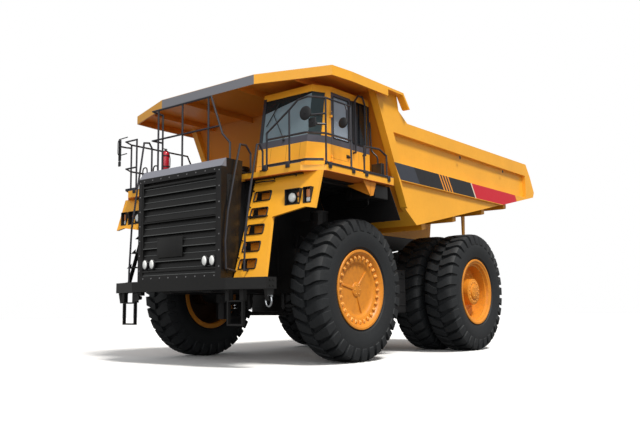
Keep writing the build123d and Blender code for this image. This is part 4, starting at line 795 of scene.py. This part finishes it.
# Fender lamps in their recesses: a round main lamp, an amber one and an indicator
main_dome = [(0.0, 0.084), (0.012, 0.08), (0.028, 0.06), (0.034, 0.03), (0.036, 0.0)]
main_ring = [(-0.06, 0.07), (-0.05, 0.088), (0.006, 0.096), (0.012, 0.09), (0.0, 0.084)]
small_dome = [(0.0, 0.04), (0.01, 0.036), (0.018, 0.022), (0.02, 0.0)]
recess_z = (2.772, 3.048)
amber_bm, reflector_bm = bmesh.new(), bmesh.new()
for side in (1, -1):
    d = tower_d(2.77) + 0.055
    wall_d = (d - 0.06, d + 0.04)
    for low, high in ((1.99, 2.33), (2.4, 2.57)):
        width = (low + 0.002, high - 0.002)
        box(width, (d + 0.03, d + 0.05), recess_z, 0.004, 1, side)
        for z_range in ((2.771, 2.782), (3.038, 3.049)):
            box(width, wall_d, z_range, 0.002, 1, side)
        for x in (low + 0.002, high - 0.012):
            box((x, x + 0.01), wall_d, recess_z, 0.002, 1, side)
    d = tower_d(2.91) + 0.03
    lathe(main_dome, (side * 2.1, d, 2.905), forward, bm=lens_bm)
    lathe(main_ring, (side * 2.1, d, 2.905), forward)
    lathe(small_dome, (side * 2.25, d, 2.95), forward, 24, bm=amber_bm)
    box((2.215, 2.29), (d, d + 0.03), (2.81, 2.9), 0.01, side=side, bm=reflector_bm)
    for bm, z_range in ((amber_bm, (2.88, 3.02)), (lens_bm, (2.8, 2.878))):
        box((2.425, 2.545), around(d, 0.02), z_range, 0.014, 3, side, bm=bm)
finish("lamp_reflectors", yellow, bm=reflector_bm)
finish("lamp_domes", lens, smooth=60, replaced=["lamps"], bm=lens_bm)
finish("lamp_bezels", plastic)
finish("indicator_lenses", amber, smooth=60, bm=amber_bm)

# Bumper: bolt heads, a horn on its bracket and a shackle
horn = [(0.0, 0.0), (0.0, 0.035), (0.05, 0.04), (0.1, 0.065), (0.105, 0.068), (0.09, 0.0)]
for side in (1, -1):
    knobs([side * 2.007], (-2.2, -2.12), (1.39, 1.485), (side, 0, 0), 0.018, 0.012)
box((-1.24, -1.06), (-2.44, -2.34), (1.275, 1.34), 0.01)
lathe(horn, (-1.15, -2.36, 1.235), forward, 20)
for x_in, x_out in ((1.05, 1.4), (-1.85, -1.51)):
    xs = [x_in + 0.05 + k * (x_out - x_in - 0.1) / 6 for k in range(7)]
    knobs(xs, [-2.21], (0.748, 1.148), upward, 0.012, 0.006)
finish("bumper_fittings", black)

shackle = [(1.9, 1.215), (1.882, 1.13), (1.905, 1.065), (1.95, 1.04), (1.995, 1.065), (2.018, 1.13),
           (2.0, 1.215)]
tube([(x, shackle_d, z) for x, z in shackle], 0.017, 0.03)
tube([(1.88, shackle_d, 1.215), (2.02, shackle_d, 1.215)], 0.022, 0.01, 14)
finish("tow_shackle", steel, smooth=50)

# Ladder tower: framed step holes, bridges between its rails and the right ladder's brackets
back_bm = bmesh.new()
for step in range(5):
    low = 1.69 + step * 0.307
    high = low + 0.17
    back_d = tower_d(high) + 0.15
    loop = [(x, tower_d(z) - 0.004, z) for x, z in ((1.215, low), (1.61, low), (1.61, high),
                                                    (1.215, high), (1.215, low))]
    tube(loop, 0.013, 0.03, 8)
    box((1.225, 1.6), (back_d, back_d + 0.01), (low, high), 0.002, 1, bm=back_bm)
    knob((1.18, tower_d(high) - 0.002, high + 0.03), (0, -1, 0.3), 0.014, 0.03, 8)
for z in (2.62, 3.26):
    d = tower_d(z)
    tube([(1.2, d - 0.004, z + 0.02), (1.2, d - 0.09, z), (1.46, d - 0.09, z), (1.62, d - 0.06, z),
          (1.64, d - 0.004, z)], 0.012, 0.04, 8)
for z in (1.83, 2.13, 2.43):
    d = tower_d(z)
    for x in (-1.45, -1.872):
        bracket = [(x, d + 0.05, z + 0.1), (x, d - 0.06, z), (x, d + 0.05, z)]
        plate(bracket, (0.01, 0, 0))
for x in (1.165, 1.46, -1.62):
    box(around(x, 0.045), around(-1.78, 0.045), (deck_top_z, deck_top_z + 0.012), 0.003)
finish("tower_fittings", black)
# The step holes' back plates carry painted shade
finish("step_hole_backs", painted_shade_paint, bm=back_bm)

# Wheel-arch liners under the decks and the engine bay's sides, then a box and a bracket
liners = (
    # inner x, width, outline of (d, z)
    (0.872, 1.408, [(-1.7, 3.33), (0.585, 3.33), (0.575, 3.318), (-1.7, 3.318)]),
    (0.872, 1.738, [(0.585, 3.33), (0.96, 2.715), (0.948, 2.705), (0.575, 3.318)]),
    (0.86, 0.012, [(-1.88, 1.6), (-1.88, 3.318), (0.575, 3.318), (0.9, 2.76), (0.9, 2.43),
                   (-0.24, 2.43), (-0.24, 1.6)]),
)
for side in (1, -1):
    for x, width, outline in liners:
        plate([(side * x, d, z) for d, z in outline], (side * width, 0, 0))
    for d in (-1.6, -1.15, -0.7):
        box((0.871, 0.885), around(d, 0.02), (1.64, 3.31), 0.003, side=side)
    for x in (1.1, 1.6, 2.1):
        box((x, x + 0.03), (-1.64, 0.56), (3.278, 3.32), 0.004, side=side)
finish("wheel_arch_liners", chassis_black)

box((1.9, 2.6), (0.1, 0.54), (3.06, 3.318), 0.016, 3)
for x in (2.02, 2.48):
    box(around(x, 0.03), (0.092, 0.1), (3.1, 3.3), 0.003)
tube([(2.3, 0.3, 3.07), (2.3, 0.3, 2.98), (2.1, 0.42, 2.94), (1.6, 0.5, 3.0)], 0.018)
finish("underdeck_box", black)
plate([(2.64, -0.34, 3.336), (2.64, 0.085, 3.336), (2.64, -0.02, 3.08), (2.64, -0.12, 3.06)],
      (-0.016, 0, 0), 0.003)
plate([(2.64, -0.13, 3.336), (2.64, -0.13, 3.07), (2.56, -0.13, 3.1), (2.05, -0.13, 3.336)],
      (0, 0.014, 0), 0.003)
# The bracket carries painted shade
finish("deck_bracket", painted_shade_paint)

# Tool lockers beside the tanks, with ribs, latches and hoses
for side, out in ((1, 1.83), (-1, 2.2)):
    box((1.562, out), (1.79, 2.37), (0.88, 1.8), 0.03, 3, side)
    for z in (1.05, 1.34, 1.62):
        rib_z = around(z, 0.012)
        box((out - 0.004, out + 0.012), (1.83, 2.33), rib_z, 0.004, side=side)
        box((1.62, out - 0.06), (1.78, 1.794), rib_z, 0.004, side=side)
    for d in (1.92, 2.24):
        box((out - 0.002, out + 0.022), around(d, 0.025), (1.685, 1.745), side=side)
    tube([(1.75, 1.95, 1.79), (1.75, 1.95, 1.93), (1.6, 1.8, 1.98), (1.2, 1.6, 1.96),
          (0.66, 1.6, 1.86)], 0.024, 0.1, side=side)
finish("tool_lockers", chassis_black)

# Toe boards' grey capping and the clamps that hold the rails at the deck's edge
cappings = [
    # heights of the strips, then their line; the door swings over the low one
    ((3.512, 3.535), [(1.5, toe_d), (2.46, toe_d), (2.685, -1.58)]),
    ((3.468, 3.488), [(2.704, -1.56), (2.704, 0.46)]),
    ((3.512, 3.535), [(-2.08, toe_d), (-2.46, toe_d), (-2.685, -1.5), (-2.685, 0.24)]),
]
for heights, line in cappings:
    for z in heights:
        tube([(x, d, z) for x, d in line], 0.012, 0.02, 8)
for x in (1.54, 2.07, -2.14):
    box(around(x, 0.045), (-1.822, -1.8), (3.425, 3.535))
    knob((x, -1.822, 3.47), forward, 0.014, 0.01)
for side, clamp_ds in ((1, (-1.43, -0.74, -0.33, 0.42)), (-1, (-1.43, -0.65, 0.2))):
    for d in clamp_ds:
        box((2.697, 2.721), around(d, 0.045), (3.395, 3.5), side=side)
        knob((side * 2.721, d, 3.44), (side, 0, 0), 0.014, 0.01)
finish("toe_board_capping", rail_grey, smooth=50)

# Deck: clamped feet on the handrail posts, hoops by the extinguisher, a hatch and tread strips
post_places = [
    (1.54, -1.76), (2.07, -1.76), (edge_x, -1.48), (edge_x, -0.74), (edge_x, -0.33),
    (edge_x, 0.42), (-edge_x, -1.5), (-edge_x, -0.65), (-edge_x, 0.2), (-2.14, -1.76),
]
post_collar = [(0.0, 0.024), (0.06, 0.026), (0.068, 0.022)]
foot_top_z = deck_top_z + 0.014
for x, d in post_places:
    box(around(x, 0.038), around(d, 0.045), (deck_top_z, foot_top_z), 0.004)
    lathe(post_collar, (x, d, deck_top_z + 0.012), upward, 14)
    knobs([x], around(d, 0.032), [foot_top_z], upward, 0.009, 0.009)
for x in (-1.91, -1.57):
    hoop(around(x, 0.07), hoop_d, (deck_top_z, 3.94), 0.014, 0.08)
finish("deck_post_feet", rail_grey)

hatch_top_z = deck_top_z + 0.018
for side in (1, -1):
    for row in range(4):
        d = -1.66 + row * 0.035
        box((1.6, 2.05), (d, d + 0.012), (deck_top_z, deck_top_z + 0.006), 0.002, 1, side)
box((-1.9, -1.1), (-1.3, -0.5), (deck_top_z, hatch_top_z))
knobs((-1.8, -1.2), (-1.22, -0.58), [hatch_top_z], upward, 0.014, 0.01)
hoop((-1.6, -1.4), -0.62, (deck_top_z + 0.016, deck_top_z + 0.07), 0.009, 0.03)
finish("deck_hatch", grey)

# Two banded air cleaners on the right deck, and a junction box with its pipe behind the cab
drum = [
    (0.0, 0.0), (0.0, 0.15), (0.02, 0.165), (0.42, 0.165), (0.44, 0.15), (0.46, 0.12),
    (0.6, 0.11), (0.61, 0.17), (0.66, 0.175), (0.7, 0.15), (0.71, 0.0),
]
for x in (-1.1, -1.55):
    lathe(drum, (x, 0.33, deck_top_z + 0.002), upward)
    for z in (3.56, 3.78):
        band((x, 0.33, z), upward, 0.164, 0.172, 0.022)
box((2.36, 2.6), (0.345, 0.44), (3.52, 3.76), 0.012, 3)
tube([(2.48, 0.39, 3.75), (2.48, 0.39, 3.9), (2.36, 0.36, 4.02), (2.34, 0.345, 4.6)], 0.016)
finish("air_cleaners", black, smooth=40)

# Mirrors: housings that face the front, and silvered faces that look back
round_x, square_x, door_x, right_x = edge_x - 0.21, edge_x - 0.1, edge_x - 0.02, -edge_x - 0.04
face_bm = bmesh.new()
for x, d, z, radius in ((round_x, -1.775, 4.33, 0.124), (door_x, -0.945, 4.29, 0.098)):
    shell = [(0.0, radius * 0.93), (0.0, radius), (-0.008, radius), (-0.018, radius * 0.86),
             (-0.025, radius * 0.5), (-0.026, 0.0)]
    lathe(shell, (x, d, z), backward)
    lathe([(-0.003, 0.0), (-0.003, radius * 0.94)], (x, d, z), backward, bm=face_bm)
for x, d, half, low, high in ((square_x, -1.715, 0.08, 4.08, 4.24),
                              (right_x, -1.76, 0.043, 4.18, 4.64)):
    box(around(x, half), (d - 0.025, d - 0.003), (low, high), 0.01, 3)
    box(around(x, half - 0.012), (d - 0.004, d - 0.0005), (low + 0.012, high - 0.012), 0.001, 1,
        bm=face_bm)
for x, d, z in ((round_x, -1.795, 4.33), (square_x, -1.735, 4.16), (right_x, -1.78, 4.5)):
    knob((x, d, z), forward, 0.022, 0.016, 12)
for z, reach in ((4.655, 0.26), (4.3, 0.24)):
    tube([(right_x - 0.03, -1.775, z), (right_x + reach, -1.775, z + 0.01)], 0.011, 0.02)
tube([(right_x, -1.79, 4.65), (right_x - 0.036, -1.8, 4.6), (right_x - 0.036, -1.8, 4.33),
      (right_x + 0.01, -1.79, 4.29)], 0.008, 0.03, 8)
box((right_x - 0.03, right_x + 0.04), (-1.795, -1.765), (4.06, 4.17), 0.01, 3)
tube([(right_x, -1.775, 4.19), (right_x + 0.01, -1.778, 4.11)], 0.01, 0.02, 8)
finish("mirror_housings", plastic, smooth=50, replaced=["mirrors"])
finish("mirror_faces", mirror_face, bm=face_bm)

# Fire extinguisher: bottle, valve, lever, hose and its straps, on the stand
bottle = [(0.0, 0.0), (0.0, 0.068), (0.012, 0.075), (0.34, 0.075), (0.372, 0.062), (0.392, 0.034),
          (0.4, 0.024), (0.4, 0.0)]
valve = [(0.0, 0.0), (0.0, 0.026), (0.045, 0.026), (0.055, 0.018), (0.055, 0.0)]
lathe(bottle, (bottle_x, bottle_d, bottle_foot_z), upward)
finish("extinguisher_bottle", red, smooth=50, replaced=["fire_extinguisher"])
box(around(bottle_x, 0.05), around(bottle_d, 0.05), (deck_top_z, bottle_foot_z), 0.008)
lathe(valve, (bottle_x, bottle_d, 4.188), upward, 16)
box(around(bottle_x, 0.01), (-1.815, -1.7), (4.232, 4.244), 0.003)
tube([(bottle_x, -1.72, 4.21), (bottle_x, -1.66, 4.19), (-1.185, -1.665, 4.05),
      (-1.18, -1.675, 3.86)], 0.01, 0.05)
for z in (3.86, 4.08):
    band((bottle_x, bottle_d, z), upward, 0.0745, 0.08, 0.022)
finish("extinguisher_fittings", plastic, smooth=40)

# Cab: window seals, the wiper and the door's handle and hem
seal(cab_side_x + 0.004, (-0.22, 0.26), (glass_z, window_top_z))
wiper_foot = place(1.62, cab_front_d + (glass_z - deck_top_z) * cab_lean - 0.012, glass_z - 0.03)
wiper_tip = place(1.3, cab_front_d + (4.6 - deck_top_z) * cab_lean - 0.01, 4.6)
blade = [wiper_tip + Vector((-0.14, -0.05, -0.22)), wiper_tip + Vector((0.12, 0.03, 0.2))]
tube([wiper_foot, wiper_tip], 0.007, 0.01, 8)
tube(blade, 0.009, 0.01, 8)
knob(wiper_foot, forward, 0.022, 0.02, 14)
finish("cab_seals", plastic, smooth=50)

seal(cab_side_x + 0.003, (-0.834, -0.356), (glass_z, door_glass_top_z))
box((cab_side_x - 0.001, cab_side_x + 0.008), (-0.44, -0.34), (3.77, 3.83), 0.003)
root_x, grip_x = cab_side_x + 0.002, cab_side_x + 0.032
tube([(root_x, -0.42, 3.79), (grip_x, -0.42, 3.79), (grip_x, -0.35, 3.79), (root_x, -0.35, 3.79)],
     0.007, 0.02, 8)
box((cab_side_x - 0.053, cab_side_x - 0.046), (-0.88, -0.34), (3.6, 3.66), 0.002, 1)
finish("door_seal_and_handle", plastic, "cab_door", smooth=50)

# Seat: a puffed cushion and backrest on a sprung pedestal with armrests
add_cushion((1.452, 1.948), (-0.675, -0.15), over_floor(0.345, 0.478))
cushion = finish("seat_cushion", cloth, smooth=80, replaced=["operator_seat"])
add_cushion((1.466, 1.934), (-0.245, -0.125), over_floor(0.455, 1.14), 0.17)
backrest = finish("seat_backrest", cloth, smooth=80)
box((1.5, 1.9), (-0.6, -0.2), over_floor(0.3, 0.352), 0.012)
box((1.55, 1.85), (-0.54, -0.26), (floor_z, floor_z + 0.035), 0.01)
for fold in range(6):
    z = floor_z + 0.035 + fold * 0.044
    box((1.575, 1.825), (-0.515, -0.285), (z, z + 0.044), 0.02)
for x in (1.47, 1.9):
    box((x - 0.03, x + 0.06), (-0.52, -0.22), over_floor(0.6, 0.65), 0.014, 3)
    box((x, x + 0.03), (-0.26, -0.2), over_floor(0.43, 0.605), 0.008)
finish("seat_pedestal", plastic)

# Dash hood, gauges and screen, and a round steering wheel
gauge = [(0.0, 0.0), (0.0, 0.04), (0.006, 0.046), (0.006, 0.052), (-0.006, 0.052)]
boss = [(-0.02, 0.0), (-0.02, 0.04), (0.008, 0.052), (0.022, 0.044), (0.026, 0.0)]
box((1.3, 2.02), (-1.3, -1.08), over_floor(0.415, 0.435), 0.008)
plate([(1.48, -1.045, floor_z + 0.425), (1.48, -1.2, floor_z + 0.425),
       (1.48, -1.215, floor_z + 0.51), (1.48, -1.1, floor_z + 0.52)], (0.44, 0, 0), 0.006)
box((1.16, 1.36), (-1.16, -1.13), over_floor(0.43, 0.57), 0.008)
finish("dash_hood", plastic)
for x in (1.56, 1.7, 1.84):
    lathe(gauge, (x, -1.072, floor_z + 0.474), (0, 1, 0.5), 24)
box((1.175, 1.345), (-1.131, -1.127), over_floor(0.445, 0.555), 0.003)
finish("dash_gauges", dark_glass, smooth=50)

hub = place(1.7, -0.99, floor_z + 0.56)
column = Vector((0, 0.5, 0.86)).normalized()
across = Vector(outward)
along = column.cross(across).normalized()


def wheel_way(angle):
    """The way from the steering wheel's hub to its rim, at an angle."""
    return across * cos(angle) + along * sin(angle)


rings = []
rim_steps = 48
for step in range(rim_steps):
    way = wheel_way(2 * pi * step / rim_steps)
    rings.append(add_ring(work, hub + column * 0.012 + way * 0.197, way, column, 0.016, 10))
add_skin(work, rings + rings[:1], closed=False)
lathe(boss, hub, column, 24)
for angle in (0.0, pi, 1.5 * pi):
    way = wheel_way(angle)
    tube([hub + way * 0.03 + column * 0.004, hub + way * 0.19 + column * 0.012], 0.011, 0.01, 8)
tube([(1.7, -1.09, floor_z + 0.437), hub - column * 0.01], 0.022, 0.01, 16)
finish("steering_wheel_round", plastic, smooth=50, replaced=["steering_wheel"])

# Hoist cylinders: gland rings and hose ports
gland = [(-0.06, 0.124), (-0.06, 0.136), (-0.012, 0.136), (0.0, 0.13), (0.004, 0.101)]
stage_gland = [(-0.05, 0.097), (-0.05, 0.106), (-0.008, 0.106), (0.002, 0.1), (0.004, 0.067)]
for hand, side in both_sides:
    foot, head = place(side * 0.83, 3.0, 1.25), place(side * 0.83, 2.7, 2.693)
    way = (head - foot).normalized()
    lathe(gland, foot + way * 1.232, way, 36)
    band(foot + way * 0.15, way, 0.124, 0.133, 0.03, 36)
    knob(foot + way * 0.24 + Vector((0, 0.125, 0)), backward, 0.03, 0.03, 12)
    finish(f"{hand}_hoist_gland", chassis_black, f"{hand}_hoist_barrel", smooth=50)
    lathe(stage_gland, foot + way * 1.3, way, 36)
    finish(f"{hand}_hoist_stage_gland", chassis_black, f"{hand}_hoist_stage",
           smooth=50)

# Drive shaft joints, and the engine's covers and pipes
shaft_joint = [(0.0, 0.076), (0.0, 0.092), (0.045, 0.092), (0.06, 0.076)]
front, rear = place(0, 2.708, 1.5), place(0, 3.89, 1.4)
shaft_way = (rear - front).normalized()
for origin, way in ((front + shaft_way * 0.14, shaft_way), (rear - shaft_way * 0.14, -shaft_way)):
    lathe(shaft_joint, origin, way, 28)
    for step in range(8):
        angle = 2 * pi * step / 8
        side_way = across * cos(angle) + shaft_way.cross(across) * sin(angle)
        knob(origin - way * 0.012 + side_way * 0.108, way, 0.011, 0.014)
finish("drive_shaft_joints", iron, smooth=50)

for side in (1, -1):
    for cylinder in range(6):
        d = -1.72 + cylinder * 0.225
        box((0.398, 0.47), (d, d + 0.185), (2.2, 2.42), 0.018, side=side)
        tube([(0.46, d + 0.09, 2.31), (0.52, d + 0.09, 2.34), (0.55, d + 0.12, 2.5)],
             0.03, 0.04, side=side)
        knob((side * 0.4, d + 0.09, 1.72), (side, 0, 0), 0.062, 0.02, 14)
    tube([(0.55, -1.66, 2.52), (0.55, -0.42, 2.52), (0.45, -0.3, 2.7)], 0.06, 0.12, 14, side=side)
    box((0.399, 0.43), (-1.8, -0.4), (1.5, 1.56), 0.008, side=side)
finish("engine_covers", iron)

# Tanks: straps and fillers; frame hoses between the tanks and the hoists
filler = [(0.0, 0.0), (0.0, 0.052), (0.03, 0.056), (0.05, 0.05), (0.054, 0.0)]
for side in (1, -1):
    for d, way in ((1.775, -1), (2.385, 1)):
        strap_d = (d - 0.004 * way, d + 0.01 * way)
        for x in (0.85, 1.35):
            box(around(x, 0.03), strap_d, (1.38, 1.86), 0.003, side=side)
            knob((side * x, strap_d[1], 1.62), (0, way, 0), 0.018, 0.014)
    lathe(filler, (side * 1.38, 1.98, 1.9), upward, 20)
finish("tank_straps", black)

for side in (1, -1):
    for apart in (0.0, 0.06):
        tube([(0.68, 2.384, 1.6 + apart), (0.6, 2.48, 1.62 + apart), (0.36, 2.52, 1.6 + apart),
              (0.36, 1.3 + apart, 1.55)], 0.02, 0.12, side=side)
    tube([(1.15, -0.172, 2.3), (1.02, -0.26, 2.45), (0.9, -0.2, 2.2), (0.87, 0.05, 1.9)],
         0.014, 0.08, 8, side=side)
finish("frame_hoses", plastic, smooth=60)

# Axle cover bolts at the rear and collars on the front struts
for side in (1, -1):
    for step in range(14):
        centre = on_wheel(side * 0.33, behind(wheelbase), 0.3, 2 * pi * step / 14)
        knob(centre, (side, 0, 0), 0.018, 0.014)
    for z in (1.9, 2.86):
        band((side * 1.33, 0, z), upward, 0.17, 0.186, 0.034)
finish("axle_bolts_and_collars", iron, smooth=50)

# Body: two lifting holes in each top rail
rail_hole = [(0.0, 0.0), (0.0, 0.034), (0.003, 0.04), (0.003, 0.034), (0.0015, 0.03), (0.0015, 0.0)]
for side in (1, -1):
    for d in (3.6, 5.9):
        centre = (side * (body_half_width - 0.0015), d, top_rail_z - 0.08)
        lathe(rail_hole, centre, (side, 0, 0), 20)
finish("rail_holes", black, "bed")


# Floor, backdrop and light

def show_camera(tree, lighting, seen, output):
    """Shows one shader to the camera, while another lights the truck."""
    path = tree.nodes.new("ShaderNodeLightPath")
    choose = add_node(tree, "ShaderNodeMixShader", {
        "Fac": path.outputs["Is Camera Ray"], 1: lighting, 2: seen})
    set_inputs(tree, tree.nodes[output], {"Surface": choose.outputs["Shader"]})


def add_sun(name, way, energy, degrees, colour):
    """A sun that shines along way and looks some degrees wide."""
    data = bpy.data.lights.new(name, "SUN")
    data.energy = energy
    data.angle = radians(degrees)
    data.color = colour
    add_object(name, data).rotation_euler = Vector(way).to_track_quat("-Z", "Y").to_euler()


white = (1, 1, 1, 1)
floor_mesh = bpy.data.meshes.new("floor")
bm = bmesh.new()
bmesh.ops.create_grid(bm, x_segments=1, y_segments=1, size=60)
bm.to_mesh(floor_mesh)
bm.free()
floor = add_object("floor", floor_mesh)
floor_paint = bpy.data.materials.new("floor_paint")
floor_paint.use_nodes = True
tree = floor_paint.node_tree
seen = set_inputs(tree, tree.nodes["Principled BSDF"], {"Base Color": white, "Roughness": 0.9})
bounce = add_node(tree, "ShaderNodeBsdfDiffuse", {"Color": (0.18, 0.18, 0.18, 1)})
show_camera(tree, bounce.outputs["BSDF"], seen.outputs["BSDF"], "Material Output")
floor_mesh.materials.append(floor_paint)

world = bpy.data.worlds.new("studio")
bpy.context.scene.world = world
world.use_nodes = True
tree = world.node_tree
sky = set_inputs(tree, tree.nodes["Background"], {"Color": white, "Strength": 0.38})
backdrop = add_node(tree, "ShaderNodeBackground", {"Color": white, "Strength": 1.0})
show_camera(tree, sky.outputs["Background"], backdrop.outputs["Background"], "World Output")

add_sun("key", (-0.57, 0.17, -1.0), 3.6, 13, (1.0, 0.97, 0.92))
add_sun("fill", (-0.45, 0.85, -0.3), 1.25, 60, (1.0, 1.0, 1.0))

# Camera, solved from the wheels, bumper, deck and body edges in the photograph
camera_place = Vector((10.163, front_axle_y - 11.25, 1.023))
yaw, pitch, roll = radians(38.073), radians(6.83), radians(-0.638)
look = Vector((-sin(yaw) * cos(pitch), cos(yaw) * cos(pitch), sin(pitch)))
level = Vector((cos(yaw), sin(yaw), 0))
up = level.cross(look)
right = level * cos(roll) + up * sin(roll)
top = up * cos(roll) - level * sin(roll)
camera_data = bpy.data.cameras.new("camera")
camera_data.sensor_width = 36
camera_data.lens = 41.07
camera_data.shift_y = 0.0097
camera_data.clip_end = 200
camera = add_object("camera", camera_data)
turn = Matrix((right, top, -look)).transposed()
camera.matrix_world = Matrix.Translation(camera_place) @ turn.to_4x4()
bpy.context.scene.camera = camera

scene = bpy.context.scene
scene.view_settings.view_transform = "Standard"

bpy.context.view_layer.update()
